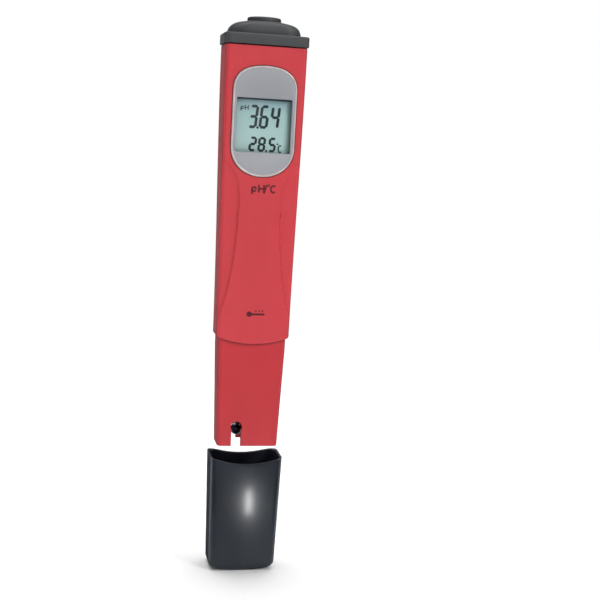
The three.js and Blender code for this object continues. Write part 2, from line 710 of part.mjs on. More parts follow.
function probeBulkhead() {
  return probeDisc(BULKHEAD_Z, [STEM_HOLE, [JUNCTION_X, JUNCTION_RADIUS + GAP], SENSOR_HOLE]);
}

function chamberPlug() {
  return probeDisc(CHAMBER_PLUG_Z, [STEM_HOLE, [JUNCTION_X, WIRE_RADIUS + 0.4], SENSOR_HOLE]);
}

function glassBulb() {
  const steps = 7;
  const startAngle = Math.acos(BULB_NECK_RADIUS / BULB_RADIUS);
  const arc = (radius, t) => {
    const angle = startAngle - t * (startAngle + Math.PI / 2);
    return [Math.max(radius * Math.cos(angle), 0), BULB_Z + radius * Math.sin(angle)];
  };
  const outside = Array.from({ length: steps + 1 }, (_, i) => arc(BULB_RADIUS, 1 - i / steps));
  const inside = Array.from({ length: steps + 1 }, (_, i) => arc(BULB_RADIUS - GLASS_WALL, i / steps));
  return turned([...outside, ...inside], ELECTRODE_X, PROBE_Y, 24);
}

function electrodeStem() {
  const bore = STEM_RADIUS - GLASS_WALL;
  const neck = 1.2;
  return turned([
    [bore - 0.4, STEM_LOW_Z],
    [bore, STEM_LOW_Z],
    [STEM_RADIUS, STEM_LOW_Z + neck],
    [STEM_RADIUS, PROBE_TOP_Z],
    [bore, PROBE_TOP_Z],
    [bore, STEM_LOW_Z + neck],
    [bore - 0.4, STEM_LOW_Z],
  ], ELECTRODE_X, PROBE_Y);
}

function straightWire(x, low) {
  return rodZ(WIRE_RADIUS, x, PROBE_Y, [low, WIRE_TOP_Z], 10);
}

function referenceJunction() {
  return rodZ(JUNCTION_RADIUS, JUNCTION_X, PROBE_Y, [BULKHEAD_Z[0] - 1, BULKHEAD_Z[1] + 1], 12);
}

function temperatureSensor() {
  const steps = 5;
  const nose = Array.from({ length: steps + 1 }, (_, i) => {
    const angle = (i / steps) * (Math.PI / 2);
    return [SENSOR_RADIUS * Math.sin(angle), SENSOR_LOW_Z + SENSOR_RADIUS * (1 - Math.cos(angle))];
  });
  return turned([...nose, [SENSOR_RADIUS, PROBE_TOP_Z], [0, PROBE_TOP_Z]], SENSOR_X, PROBE_Y);
}

// An insulated lead that rises from a probe and bends back to run up behind the board.
function lead(x, startZ, endX, endZ) {
  const radius = 0.6;
  const back = BOARD_BACK_Y + GAP + radius * 1.5;
  const curve = new THREE.CatmullRomCurve3([
    new THREE.Vector3(x, PROBE_Y, startZ),
    new THREE.Vector3(x, PROBE_Y, startZ + 6),
    new THREE.Vector3((x + endX) / 2, radius, (startZ + endZ) / 2),
    new THREE.Vector3(endX, back, endZ - 4),
    new THREE.Vector3(endX, back, endZ),
  ]);
  return wire(curve, radius, 18);
}

// ---- sensor cap --------------------------------------------------------------------------

function capSection(z, inset) {
  const rise = THREE.MathUtils.clamp((z - CAP_SEATED_FOOT_Z) / (CAP_RIM_Z - CAP_SEATED_FOOT_Z), 0, 1.1);
  return {
    ...sizeBetween(CAP_FOOT_SIZE, SKIRT_SIZE, rise, inset),
    frontRadius: 2.6 - 0.7 * inset,
    backRadius: 6.6 - inset,
    crown: 0.3,
  };
}

// The closed end: flat in the middle, swept up to the sides, seen from the front.
function aboveFootArc(foot, halfWidth, height) {
  const flat = 5;
  const shape = new THREE.Shape();
  shape.moveTo(halfWidth, height);
  shape.lineTo(-halfWidth, height);
  shape.lineTo(-halfWidth, foot + 7);
  shape.bezierCurveTo(-halfWidth, foot + 2.3, -halfWidth + 3.8, foot + 0.8, -flat, foot);
  shape.lineTo(flat, foot);
  shape.bezierCurveTo(halfWidth - 3.8, foot + 0.8, halfWidth, foot + 2.3, halfWidth, foot + 7);
  return prismXZ(shape, [-20, 20], 8);
}

function sensorCap() {
  const foot = CAP_SEATED_FOOT_Z;
  const above = 60;
  const footHalfWidth = 18;
  const heights = [foot - 1, CAP_RIM_Z, above];
  const body = (inset) => loft(heights.map((z) => capSection(z, inset)), heights);
  const outer = body(0).intersect(aboveFootArc(foot, footHalfWidth, above));
  const floor = aboveFootArc(foot + CAP_FOOT_THICKNESS, footHalfWidth - CAP_WALL, above + 1);
  return cut(outer, body(CAP_WALL).intersect(floor), aboveSkirtArc(-GAP, above + 10));
}

function storageSponge() {
  const low = CAP_SEATED_FOOT_Z + CAP_FOOT_THICKNESS + GAP;
  const section = { halfWidth: 7, front: 7.4, back: 4, frontRadius: 2, backRadius: 2.5 };
  return straightLoft(section, low, low + SPONGE_HEIGHT);
}

// ---- assembly ----------------------------------------------------------------------------

function part(name, body, material) {
  const mesh = new THREE.Mesh(geometryOf(body), material);
  mesh.name = name;
  return mesh;
}

const hollow = hollowCase();
const pen = new THREE.Group();
pen.position.z = TIP_Z;
pen.add(
  part('front_shell', frontShell(hollow), RED_PLASTIC),
  part('rear_shell', rearShell(hollow), RED_PLASTIC),
  ...SCREWS.map((screw, i) => part(`shell_screw_${i + 1}`, shellScrew(screw), STEEL)),
  part('display_bezel', displayBezel(), SILVER_PANEL),
  part('display_window', displayWindow(), CLEAR_WINDOW),
  part('lcd_module', lcdModule(), LCD_GLASS),
  part('lcd_holder', lcdHolder(), HOLDER_PLASTIC),
  part('zebra_strip_lower', zebraStrip(VIEW_LOW_Z - 0.8), DARK_RUBBER),
  part('zebra_strip_upper', zebraStrip(VIEW_TOP_Z - 1.2), DARK_RUBBER),
  part('main_circuit_board', circuitBoard(), CIRCUIT_BOARD),
  part('microcontroller_chip', chip(0, 139, 5, 6, 8), CHIP_BLACK),
  part('input_amplifier_chip', chip(-4, 93.6, 1.6, 2.4, 4), CHIP_BLACK),
  part('timing_crystal', timingCrystal(), NICKEL),
  part('trimmer_body', trimmerBody(), BLUE_PLASTIC),
  part('trimmer_rotor', trimmerRotor(), BRASS),
  part('switch_body', switchBody(), CHIP_BLACK),
  part('switch_plunger', switchPlunger(), HOLDER_PLASTIC),
  part('battery_holder', batteryHolder(), HOLDER_PLASTIC),
  part('cell_spring_left', cellSpring(-1), NICKEL),
  part('cell_spring_right', cellSpring(1), NICKEL),
  part('battery_cap', batteryCap(), GREY_PLASTIC),
  part('battery_cap_seal', batteryCapSeal(), DARK_RUBBER),
  part('cell_bridge_plate', cellBridgePlate(), NICKEL),
  part('button_retainer', buttonRetainer(), GREY_PLASTIC),
  part('power_button', powerButton(), GREY_PLASTIC),
  part('button_return_spring', returnSpring(), STEEL),
  part('probe_guard', probeGuard(), GUARD_PLASTIC),
  part('guard_seal', guardSeal(), DARK_RUBBER),
  part('probe_bulkhead', probeBulkhead(), CHIP_BLACK),
  part('chamber_plug', chamberPlug(), DARK_RUBBER),
  part('glass_bulb', glassBulb(), GLASS),
  part('electrode_stem', electrodeStem(), GLASS),
  part('inner_electrode_wire', straightWire(ELECTRODE_X, BULB_Z), SILVER_WIRE),
  part('reference_wire', straightWire(JUNCTION_X, 22), SILVER_WIRE),
  part('reference_junction', referenceJunction(), POROUS_WHITE),
  part('temperature_sensor', temperatureSensor(), STEEL),
  part('signal_lead', lead(ELECTRODE_X, WIRE_TOP_Z + 0.4, -6.5, 89), LEAD_RED),
  part('reference_lead', lead(JUNCTION_X, WIRE_TOP_Z + 0.4, 0.4, 87), LEAD_BLACK),
  part('thermistor_lead', lead(SENSOR_X, PROBE_TOP_Z + 0.4, 5.6, 89), LEAD_WHITE),
);

const cells = [-1, 1].flatMap((side) => [0, 1].map((layer) => ({ side, layer })));
cells.forEach(({ side, layer }, i) => {
  const cell = part(`button_cell_${i + 1}`, buttonCell(0), NICKEL);
  cell.position.set(CELL_X * side, CELL_Y, CELL_LOW_Z + layer * (CELL_HEIGHT + 0.15));
  pen.add(cell);
});

const looseCap = new THREE.Group();
looseCap.position.z = -CAP_SEATED_FOOT_Z;
looseCap.add(
  part('sensor_cap', sensorCap(), BLACK_GLOSS),
  part('storage_sponge', storageSponge(), YELLOW_SPONGE),
);

const tester = new THREE.Group();
tester.add(pen, looseCap);

export default tester;
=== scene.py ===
import math

import bmesh
import bpy
import numpy as np
from mathutils import Matrix, Vector, noise


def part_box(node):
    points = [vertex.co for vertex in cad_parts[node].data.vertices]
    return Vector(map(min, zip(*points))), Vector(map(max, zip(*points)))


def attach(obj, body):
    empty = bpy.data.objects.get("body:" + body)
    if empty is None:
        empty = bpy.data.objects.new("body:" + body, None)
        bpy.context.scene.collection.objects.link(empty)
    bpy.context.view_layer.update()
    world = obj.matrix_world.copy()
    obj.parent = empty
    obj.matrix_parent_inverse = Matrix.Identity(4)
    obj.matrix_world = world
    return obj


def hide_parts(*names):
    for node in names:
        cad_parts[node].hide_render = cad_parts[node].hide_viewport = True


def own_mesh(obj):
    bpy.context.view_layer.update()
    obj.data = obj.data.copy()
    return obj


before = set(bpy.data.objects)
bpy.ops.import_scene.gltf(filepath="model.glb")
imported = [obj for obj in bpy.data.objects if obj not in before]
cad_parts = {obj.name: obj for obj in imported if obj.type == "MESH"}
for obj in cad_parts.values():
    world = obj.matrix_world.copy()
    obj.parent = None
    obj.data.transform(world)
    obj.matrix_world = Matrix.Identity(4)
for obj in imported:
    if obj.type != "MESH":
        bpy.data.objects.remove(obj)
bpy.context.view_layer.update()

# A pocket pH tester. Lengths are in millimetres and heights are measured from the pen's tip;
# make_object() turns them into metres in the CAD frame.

MM = 0.001


def box_mm(node):
    low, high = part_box(node)
    return np.array(low) / MM, np.array(high) / MM


TIP = box_mm("probe_guard")[0][2]


def heights(node):
    low, high = box_mm(node)
    return low[2] - TIP, high[2] - TIP


def middle(node):
    """The middle of a CAD node, seen from above."""
    low, high = box_mm(node)
    return (low[0] + high[0]) / 2, (low[1] + high[1]) / 2


SKIRT_LOW, CASE_TOP = heights("front_shell")
SKIRT_HALF = box_mm("sensor_cap")[1][0]
TOP_HALF = box_mm("front_shell")[1][0]
CASE_FRONT = 12.0
SKIRT_BACK = 8.7
TOP_BACK = 12.3
WALL = 1.8
SOCKET_WALL = 0.9
SHOULDER = 58.4
SKIRT_ARC = 46.5
PART_GAP = 0.04
PART_SLOPE = 0.8
TAPER_SPAN = (45, 180)
GAP = 0.3

BEZEL_LOW, BEZEL_TOP = heights("display_bezel")
(_, BEZEL_FRONT, _), (BEZEL_HALF, BEZEL_BACK, _) = box_mm("display_bezel")
BEZEL_SHOULDER = 156.8
BEZEL_BEAD = 0.85
VIEW_HALF = 12.0
VIEW_LOW = heights("lcd_module")[0] + 2
VIEW_TOP = heights("lcd_module")[1] - 2
LCD_FRONT = box_mm("lcd_module")[0][1]

BUTTON_TOP = heights("power_button")[1]
BUTTON_RADIUS = 7.45
BUTTON_FLANGE_LOW = 180.6
CAP_LOW, DOME_TOP = heights("battery_cap")
FLANGE_LOW = CASE_TOP + GAP
FLANGE_TOP = FLANGE_LOW + 4.5
FLANGE_OVERHANG = 0.65
PLUG_SIZE_AT = 172
GROOVE_LOW, GROOVE_TOP = 173.0, 174.6
PLUNGER_Y = -7.0

SLOT_X = -5.2
SLOT_WIDTH = 4.3
SLOT_HOLE = 8.8
SLOT_HOLE_RADIUS = 2.55
PROBE_Y = -1.8
ELECTRODE_X = -4.1
BULB_Z = 6.0
BULB_RADIUS = 2.6
BULB_NECK = 1.8
STEM_LOW, STEM_TOP = heights("electrode_stem")
STEM_RADIUS = 2.4
GLASS_WALL = 0.45
JUNCTION_X = 0.8
JUNCTION_RADIUS = 1.3
SENSOR_X = 5.4
SENSOR_RADIUS = 2
GUARD_TOP = heights("probe_guard")[1]
GUARD_WALL = 1.6

CAP_SEATED_FOOT = -3.4
CAP_RIM = SKIRT_LOW - GAP
CAP_LIFT = -CAP_SEATED_FOOT
CAP_WALL = 0.9
CAP_FLOOR = 1.45
CAP_HALF = 18

SCREWS = (
    ("shell_screw_1", -12.6, 118, 6.0),
    ("shell_screw_2", 12.6, 118, 6.0),
    ("shell_screw_3", -11.6, 66, 4.7),
    ("shell_screw_4", 11.6, 66, 4.7),
)
TRIMMER_Z = 100
CELL_RADIUS = 5.8
CELL_X, CELL_Y = middle("button_cell_3")


def smoothstep(low, high, value):
    t = np.clip((value - low) / (high - low), 0, 1)
    return t * t * (3 - 2 * t)


def lerp(a, b, t):
    return a + (b - a) * t


# ---- building meshes ---------------------------------------------------------------------


def make_object(name, points, faces, lift=TIP):
    """A mesh object from points in millimetres, heights measured from lift."""
    mesh = bpy.data.meshes.new(name)
    shifted = np.asarray(points, float) + (0, 0, lift)
    mesh.from_pydata([tuple(p) for p in shifted * MM], [], [tuple(f) for f in faces])
    piece = bpy.data.objects.new(name, mesh)
    bpy.context.scene.collection.objects.link(piece)
    work = bmesh.new()
    work.from_mesh(mesh)
    bmesh.ops.remove_doubles(work, verts=work.verts, dist=0.002 * MM)
    bmesh.ops.recalc_face_normals(work, faces=work.faces)
    work.to_mesh(mesh)
    work.free()
    return piece


def apply_modifiers(piece):
    shown = piece.evaluated_get(bpy.context.evaluated_depsgraph_get())
    mesh = bpy.data.meshes.new_from_object(shown)
    piece.modifiers.clear()
    piece.data = mesh


def boolean(piece, tools, operation="DIFFERENCE"):
    """Joins or cuts piece with several closed tools, one after the other."""
    for tool in tools:
        step = piece.modifiers.new("boolean", "BOOLEAN")
        step.operation = operation
        step.solver = "EXACT"
        step.object = tool
        apply_modifiers(piece)
        bpy.data.objects.remove(tool)


def add_bevel(piece, width, segments, angle):
    step = piece.modifiers.new("bevel", "BEVEL")
    step.width = width * MM
    step.segments = segments
    step.limit_method = "ANGLE"
    step.angle_limit = math.radians(angle)


def bevelled(piece, width, segments=3):
    add_bevel(piece, width, segments, 30)
    apply_modifiers(piece)


def base_name(item):
    """An object's or material's name without the number Blender adds to a second one."""
    return item.name.split(".")[0]


def finish_piece(piece, material, body="meter", angle=35):
    """Shades, paints and attaches a piece, and hides the CAD node that it is named after."""
    piece.data.shade_smooth()
    piece.data.set_sharp_from_angle(angle=math.radians(angle))
    piece.data.materials.clear()
    piece.data.materials.append(material)
    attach(piece, body)
    if base_name(piece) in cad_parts:
        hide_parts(base_name(piece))


def stack_faces(count, rows, closed_rows=False):
    """Quads between rows of count points, each row a closed ring."""
    faces = []
    for row in range(rows if closed_rows else rows - 1):
        low = row * count
        high = ((row + 1) % rows) * count
        for i in range(count):
            j = (i + 1) % count
            faces.append((low + i, low + j, high + j, high + i))
    return faces


def skin(name, rings, wrap=False, lift=TIP):
    """A closed body over equal rings: wrapped like a hose, or closed at both ends."""
    rings = [np.asarray(ring, float) for ring in rings]
    count = len(rings[0])
    points = np.concatenate(rings)
    faces = stack_faces(count, len(rings), wrap)
    if not wrap:
        first, last = len(points), len(points) + 1
        points = np.concatenate([points, [rings[0].mean(0), rings[-1].mean(0)]])
        top = count * (len(rings) - 1)
        for i in range(count):
            j = (i + 1) % count
            faces.append((first, j, i))
            faces.append((last, top + i, top + j))
    return make_object(name, points, faces, lift)


def lathe(name, profile, x=0.0, y=0.0, segments=64, closed=False, axis="Z"):
    """A turned body, upright at x, y, or along Y at x and height y.

    Its profile of (radius, distance) runs from axis to axis, or closes on itself."""
    t = np.linspace(0, 2 * math.pi, segments, endpoint=False)
    rings = np.array([
        np.stack([radius * np.cos(t), radius * np.sin(t), np.full(segments, along)], 1)
        for radius, along in profile
    ])
    rings = rings[..., [0, 2, 1]] + (x, 0, y) if axis == "Y" else rings + (x, y, 0)
    return skin(name, rings, closed)


def rod(name, radius, x, y, span, segments=48, axis="Z"):
    """A cylinder: along Z at x, y, or along Y at x and height y."""
    return lathe(name, [(radius, span[0]), (radius, span[1])], x, y, segments, axis=axis)


def arc(cx, cy, radius, start, end, count):
    """Points on a circle; angles in degrees."""
    t = np.radians(np.linspace(start, end, count, endpoint=False))
    return np.stack([cx + radius * np.cos(t), cy + radius * np.sin(t)], 1)


def rounding(radius, start, end, count):
    """How far a quarter round stands back across and along, by angle in degrees."""
    for angle in np.radians(np.linspace(start, end, count)):
        yield radius * (1 - math.cos(angle)), radius * (1 - math.sin(angle))


def line(a, b, count, last=False):
    t = np.linspace(0, 1, count, endpoint=last)[:, None]
    return np.asarray(a, float) * (1 - t) + np.asarray(b, float) * t


def bezier(points, count, last=False):
    """A cubic or quadratic curve through control points."""
    t = np.linspace(0, 1, count, endpoint=last)[:, None]
    levels = [np.asarray(p, float) for p in points]
    while len(levels) > 1:
        levels = [a * (1 - t) + b * t for a, b in zip(levels, levels[1:])]
    return levels[0]


def rounded_profile(points, radius, steps=5):
    """A polyline of (r, z) with each inner corner rounded by a curve."""
    points = [np.asarray(p, float) for p in points]
    result = [points[0]]
    for before, corner, after in zip(points, points[1:], points[2:]):
        into = before - corner
        out = after - corner
        reach = min(radius, np.linalg.norm(into) * 0.45, np.linalg.norm(out) * 0.45)
        start = corner + into / np.linalg.norm(into) * reach
        end = corner + out / np.linalg.norm(out) * reach
        result.extend(bezier([start, corner, end], steps, last=True))
    return [*result, points[-1]]


def rounded_rod(name, radius, span, soften, x, y, segments=40, axis="Z"):
    """A plain rod with softened ends."""
    profile = rounded_profile([(0, span[0]), (radius, span[0]), (radius, span[1]), (0, span[1])], soften)
    return lathe(name, profile, x, y, segments, axis=axis)


def block(name, x, y, z, lift=TIP):
    corners = [(i, j, k) for i in x for j in y for k in z]
    faces = [(0, 1, 3, 2), (4, 6, 7, 5), (0, 4, 5, 1), (2, 3, 7, 6), (0, 2, 6, 4), (1, 5, 7, 3)]
    return make_object(name, corners, faces, lift)


def node_block(name, width, segments):
    """A block that fills its CAD node's box, with rounded edges."""
    piece = block(name, *zip(*box_mm(name)), lift=0)
    bevelled(piece, width, segments)
    return piece


def tube(name, path, radius, sides=12):
    """A round wire along a list of points."""
    path = np.asarray(path, float)
    tangents = np.gradient(path, axis=0)
    tangents /= np.linalg.norm(tangents, axis=1)[:, None]
    side = np.cross(tangents[0], (0, 1, 0.3))
    side /= np.linalg.norm(side)
    turn = np.linspace(0, 2 * math.pi, sides, endpoint=False)
    rings = []
    for point, tangent in zip(path, tangents):
        side = side - tangent * np.dot(side, tangent)
        side /= np.linalg.norm(side)
        across = radius * np.outer(np.cos(turn), side)
        rings.append(point + across + radius * np.outer(np.sin(turn), np.cross(tangent, side)))
    return skin(name, rings)


def helix(radius, low, high, turns, x, y, steps_per_turn=40):
    t = np.linspace(0, 1, int(turns * steps_per_turn) + 1)
    angle = t * turns * 2 * math.pi
    return np.stack([x + radius * np.cos(angle), y + radius * np.sin(angle), lerp(low, high, t)], 1)


# ---- materials ---------------------------------------------------------------------------


class Nodes:
    """A node tree, built up call by call."""

    def __init__(self, tree):
        self.tree = tree

    def feed(self, socket, value):
        if isinstance(value, bpy.types.NodeSocket):
            self.tree.links.new(value, socket)
        else:
            socket.default_value = value

    def node(self, kind, **inputs):
        made = self.tree.nodes.new("ShaderNode" + kind)
        for key, value in inputs.items():
            self.feed(made.inputs[key.replace("_", " ")], value)
        return made

    def ramp(self, factor, stops):
        """Maps a factor through (position, colour or grey) stops."""
        made = self.node("ValToRGB", Fac=factor)
        band = made.color_ramp
        while len(band.elements) < len(stops):
            band.elements.new(0.5)
        for element, (position, value) in zip(band.elements, stops):
            element.position = position
            grey = isinstance(value, (int, float))
            element.color = (value, value, value, 1) if grey else (*value, 1)
        return made.outputs["Color"]

    def fade(self, factor, low, high):
        """0 below low, 1 above high."""
        return self.ramp(factor, [(low, 0.0), (high, 1.0)])

    def remap(self, value, low, high, to_low=0.0, to_high=1.0):
        """The span low to high made to_low to to_high, and held at its ends."""
        span = {"From_Min": low, "From_Max": high, "To_Min": to_low, "To_Max": to_high}
        return self.node("MapRange", Value=value, **span).outputs[0]

    def mix(self, factor, a, b):
        made = self.node("Mix")
        made.data_type = "RGBA"
        self.feed(made.inputs[0], factor)
        for socket, value in ((made.inputs[6], a), (made.inputs[7], b)):
            self.feed(socket, (*value, 1) if isinstance(value, tuple) else value)
        return made.outputs[2]

    def math(self, operation, a, b=0.0):
        made = self.node("Math")
        made.operation = operation
        self.feed(made.inputs[0], a)
        self.feed(made.inputs[1], b)
        return made.outputs[0]

    def times(self, a, b):
        return self.math("MULTIPLY", a, b)

    def axes(self, vector):
        return self.node("SeparateXYZ", Vector=vector).outputs


class Shader(Nodes):
    """A new material, which starts as one Principled surface."""

    def __init__(self, name):
        self.material = bpy.data.materials.new(name)
        self.material.use_nodes = True
        super().__init__(self.material.node_tree)
        self.principled = self.tree.nodes["Principled BSDF"]
        self.place = self.node("TexCoord").outputs["Object"]

    def surface(self, **inputs):
        for key, value in inputs.items():
            self.feed(self.principled.inputs[key.replace("_", " ")], value)
        return self.material

    def noise(self, size_mm, detail=2.0, stretch=(1, 1, 1)):
        """Noise whose features are about size_mm across; stretch lengthens them along an axis."""
        place = self.node("Mapping", Vector=self.place, Scale=tuple(1 / s for s in stretch))
        scaled = self.node("TexNoise", Vector=place.outputs[0], Scale=1 / (size_mm * MM), Detail=detail)
        return scaled.outputs["Fac"]

    def soft_edge(self, radius_mm):
        """The surface normal, rounded over at sharp edges."""
        return self.node("Bevel", Radius=radius_mm * MM).outputs["Normal"]

    def edge_mask(self, radius_mm):
        """1 along worn edges, 0 on flats: how far a rounded normal leans from the true one."""
        lean = self.node("VectorMath")
        lean.operation = "DOT_PRODUCT"
        self.feed(lean.inputs[0], self.soft_edge(radius_mm))
        self.feed(lean.inputs[1], self.node("NewGeometry").outputs["Normal"])
        return self.fade(self.math("SUBTRACT", 1.0, lean.outputs["Value"]), 0.02, 0.2)

    def crease_shade(self, reach_mm):
        """1 in narrow creases and under lips, where shade falls, 0 on open surfaces: a mask for painted
        shade.
        """
        shade = self.node("AmbientOcclusion", Distance=reach_mm * MM)
        shade.samples = 12
        return self.ramp(shade.outputs["AO"], [(0.45, 1.0), (0.94, 0.0)])

    def grazing(self, low=0.22, high=0.6):
        """1 where the surface turns away from the eye, 0 where it faces it."""
        return self.fade(self.node("LayerWeight", Blend=0.5).outputs["Facing"], low, high)

    def bump(self, height, depth_mm, strength=1.0, normal=None):
        made = self.node("Bump", Height=height, Distance=depth_mm * MM, Strength=strength)
        if normal is not None:
            self.feed(made.inputs["Normal"], normal)
        return made.outputs["Normal"]


def srgb(red, green, blue):
    """Linear colour from the 0-255 numbers of a picture."""
    def one(value):
        value /= 255
        return value / 12.92 if value <= 0.04045 else ((value + 0.055) / 1.055) ** 2.4
    return (one(red), one(green), one(blue))


def tint(color, factor):
    return tuple(min(1.0, c * factor) for c in color)


def paler(color, toward, share):
    return tuple(lerp(c, toward, share) for c in color)


def moulded_plastic(name, color, roughness, grain_mm=0.35, grain_depth=0.012, wear=0.25,
                    edge_mm=0.25, blotch=0.06):
    """Moulded plastic: faint flow blotches, fine tool texture, lighter polished edges, and painted shade that
    darkens it where it turns from the eye and in creases.
    """
    s = Shader(name)
    flow = s.fade(s.noise(18, 3, stretch=(1, 1, 3)), 0.3, 0.7)
    base = s.mix(flow, tint(color, 1 - blotch), tint(color, 1 + blotch))
    speck = s.fade(s.noise(0.6, 2), 0.35, 0.65)
    base = s.mix(s.times(speck, 0.35), base, tint(color, 0.93))
    scuffs = s.fade(s.noise(2.5, 6, stretch=(1, 1, 4)), 0.45, 0.62)
    edges = s.times(s.edge_mask(edge_mm * 1.6), s.times(scuffs, wear))
    base = s.mix(edges, base, paler(color, 1.0, 0.22))
    aside = s.grazing()
    # Painted shade: the colour darkens where the surface turns away from the eye, standing in for sides that
    # the light misses.
    base = s.mix(s.times(aside, 0.75), base, tint(color, 0.3))
    # Painted shade: darker in creases, seams and under lips, where shade falls.
    base = s.mix(s.times(s.crease_shade(2.4), 0.85), base, tint(color, 0.22))
    smudge = s.ramp(s.noise(9, 4), [(0.3, roughness * 0.88), (0.7, min(1.0, roughness * 1.14))])
    smudge = s.mix(aside, smudge, (0.85, 0.85, 0.85))
    normal = s.bump(s.noise(grain_mm, 2), grain_depth, 0.6, s.soft_edge(edge_mm))
    return s.surface(Base_Color=base, Roughness=smudge, Normal=normal)


def gloss_black(name):
    """Polished black moulding: gloss with hairline scratches and faint handling haze."""
    s = Shader(name)
    haze = s.fade(s.noise(14, 4, stretch=(1, 1, 2)), 0.35, 0.75)
    base = s.mix(haze, srgb(29, 36, 45), srgb(39, 47, 58))
    aside = s.grazing(0.45, 0.8)
    scratches = s.fade(s.noise(0.5, 3, stretch=(1, 1, 40)), 0.56, 0.7)
    rough = s.math("ADD", s.ramp(haze, [(0.0, 0.3), (1.0, 0.38)]), s.times(scratches, 0.08))
    waves = s.bump(s.noise(16, 1, stretch=(1, 1, 3)), 0.18, 0.35, s.soft_edge(0.25))
    normal = s.bump(scratches, 0.003, 0.3, waves)
    rough = s.mix(aside, rough, (0.95, 0.95, 0.95))
    coat = s.ramp(aside, [(0.0, 0.45), (1.0, 0.0)])
    s.surface(Specular_IOR_Level=s.ramp(aside, [(0.0, 0.45), (1.0, 0.1)]))
    return s.surface(Base_Color=base, Roughness=rough, Normal=normal, Coat_Weight=coat, Coat_Roughness=0.16)


def silver_panel(name):
    """Silver-grey paint with tiny metallic flakes."""
    s = Shader(name)
    flakes = s.fade(s.noise(0.12, 2), 0.3, 0.7)
    base = s.mix(flakes, srgb(180, 182, 188), srgb(198, 200, 206))
    cloud = s.ramp(s.noise(12, 2), [(0.3, 0.30), (0.7, 0.40)])
    normal = s.bump(flakes, 0.004, 0.5, s.soft_edge(0.12))
    return s.surface(Base_Color=base, Roughness=cloud, Metallic=0.35, Normal=normal)


def bright_rim(name):
    """Bright satin bead around the panel, tinted pink: a painted reflection of the red case around it."""
    s = Shader(name)
    polish = s.noise(3, 3, stretch=(1, 1, 2))
    # The pink in these colours is a painted reflection of the red case.
    base = s.mix(s.fade(polish, 0.3, 0.7), srgb(212, 196, 197), srgb(236, 222, 222))
    satin = s.ramp(polish, [(0.3, 0.30), (0.7, 0.40)])
    return s.surface(Base_Color=base, Roughness=satin, Metallic=0.25, Normal=s.bump(polish, 0.004, 0.3))


def clear_sheet(name):
    """Thin clear plastic: see-through with a faint reflection on its outside, dust and haze."""
    s = Shader(name)
    clear = s.node("BsdfTransparent", Color=(0.95, 0.98, 0.98, 1))
    shine = s.node("BsdfGlossy", Roughness=s.ramp(s.noise(8, 3), [(0.3, 0.03), (0.7, 0.08)]))
    milk = s.node("BsdfDiffuse", Color=(0.9, 0.92, 0.92, 1))
    outside = s.math("SUBTRACT", 1.0, s.node("NewGeometry").outputs["Backfacing"])
    mirror = s.times(s.node("Fresnel", IOR=1.45).outputs["Fac"], outside)
    dust = s.ramp(s.noise(1.2, 5), [(0.62, 0.0), (0.75, 0.04)])
    shown = clear
    for factor, layer in ((mirror, shine), (dust, milk)):
        both = s.node("MixShader", Fac=factor)
        s.feed(both.inputs[1], shown.outputs[0])
        s.feed(both.inputs[2], layer.outputs[0])
        shown = both
    s.feed(s.tree.nodes["Material Output"].inputs["Surface"], shown.outputs[0])
    return s.material


def lcd_face(name):
    """Reflective liquid crystal: pale green-blue, fine grain, with a painted shadow that darkens its top and
    right edges.
    """
    s = Shader(name)
    grain = s.fade(s.noise(0.15, 2), 0.3, 0.7)
    axes = s.axes(s.place)
    rise = s.remap(axes["Z"], (TIP + VIEW_LOW) * MM, (TIP + VIEW_TOP) * MM)
    # Painted shadow: darker towards the top, where the opening's upper edge shades the display.
    shade = s.ramp(rise, [(0.0, srgb(218, 238, 235)), (0.72, srgb(197, 223, 221)),
                          (0.86, srgb(179, 203, 208)), (1.0, srgb(154, 175, 188))])
    # Painted shadow: darker along the right edge, where the opening's side shades the display.
    aside = s.remap(axes["X"], (VIEW_HALF - 1.6) * MM, VIEW_HALF * MM)
    shade = s.mix(s.times(aside, 0.85), shade, srgb(84, 103, 107))
    base = s.mix(s.times(grain, 0.3), shade, srgb(160, 188, 188))
    return s.surface(Base_Color=base, Roughness=0.45, Normal=s.bump(grain, 0.003, 0.3))


def ink(name, color, roughness=0.55):
    """Printed ink or a darkened display segment, slightly uneven."""
    s = Shader(name)
    patchy = s.fade(s.noise(0.3, 3), 0.3, 0.7)
    base = s.mix(patchy, color, tint(color, 1.35))
    return s.surface(Base_Color=base, Roughness=roughness, Normal=s.bump(patchy, 0.004, 0.4))


def metal(name, color, roughness, brushed=(1, 1, 12)):
    """Bare or plated metal with fine directional marks and dull patches."""
    s = Shader(name)
    marks = s.noise(0.25, 4, stretch=brushed)
    patches = s.fade(s.noise(3, 4), 0.35, 0.7)
    base = s.mix(s.times(patches, 0.35), color, tint(color, 0.82))
    rough = s.ramp(marks, [(0.3, roughness * 0.75), (0.7, roughness * 1.35)])
    normal = s.bump(marks, 0.004, 0.5, s.soft_edge(0.1))
    return s.surface(Base_Color=base, Metallic=1.0, Roughness=rough, Normal=normal)


def rubber(name, color, roughness=0.75):
    """Soft rubber or wire insulation: matte, slightly dusty, faintly pitted."""
    s = Shader(name)
    dust = s.ramp(s.noise(1.8, 5), [(0.5, 0.0), (0.75, 0.35)])
    base = s.mix(dust, color, paler(color, 0.6, 0.25))
    pits = s.bump(s.noise(0.2, 3), 0.01, 0.4)
    return s.surface(Base_Color=base, Roughness=roughness, Normal=pits, Sheen_Weight=0.15)


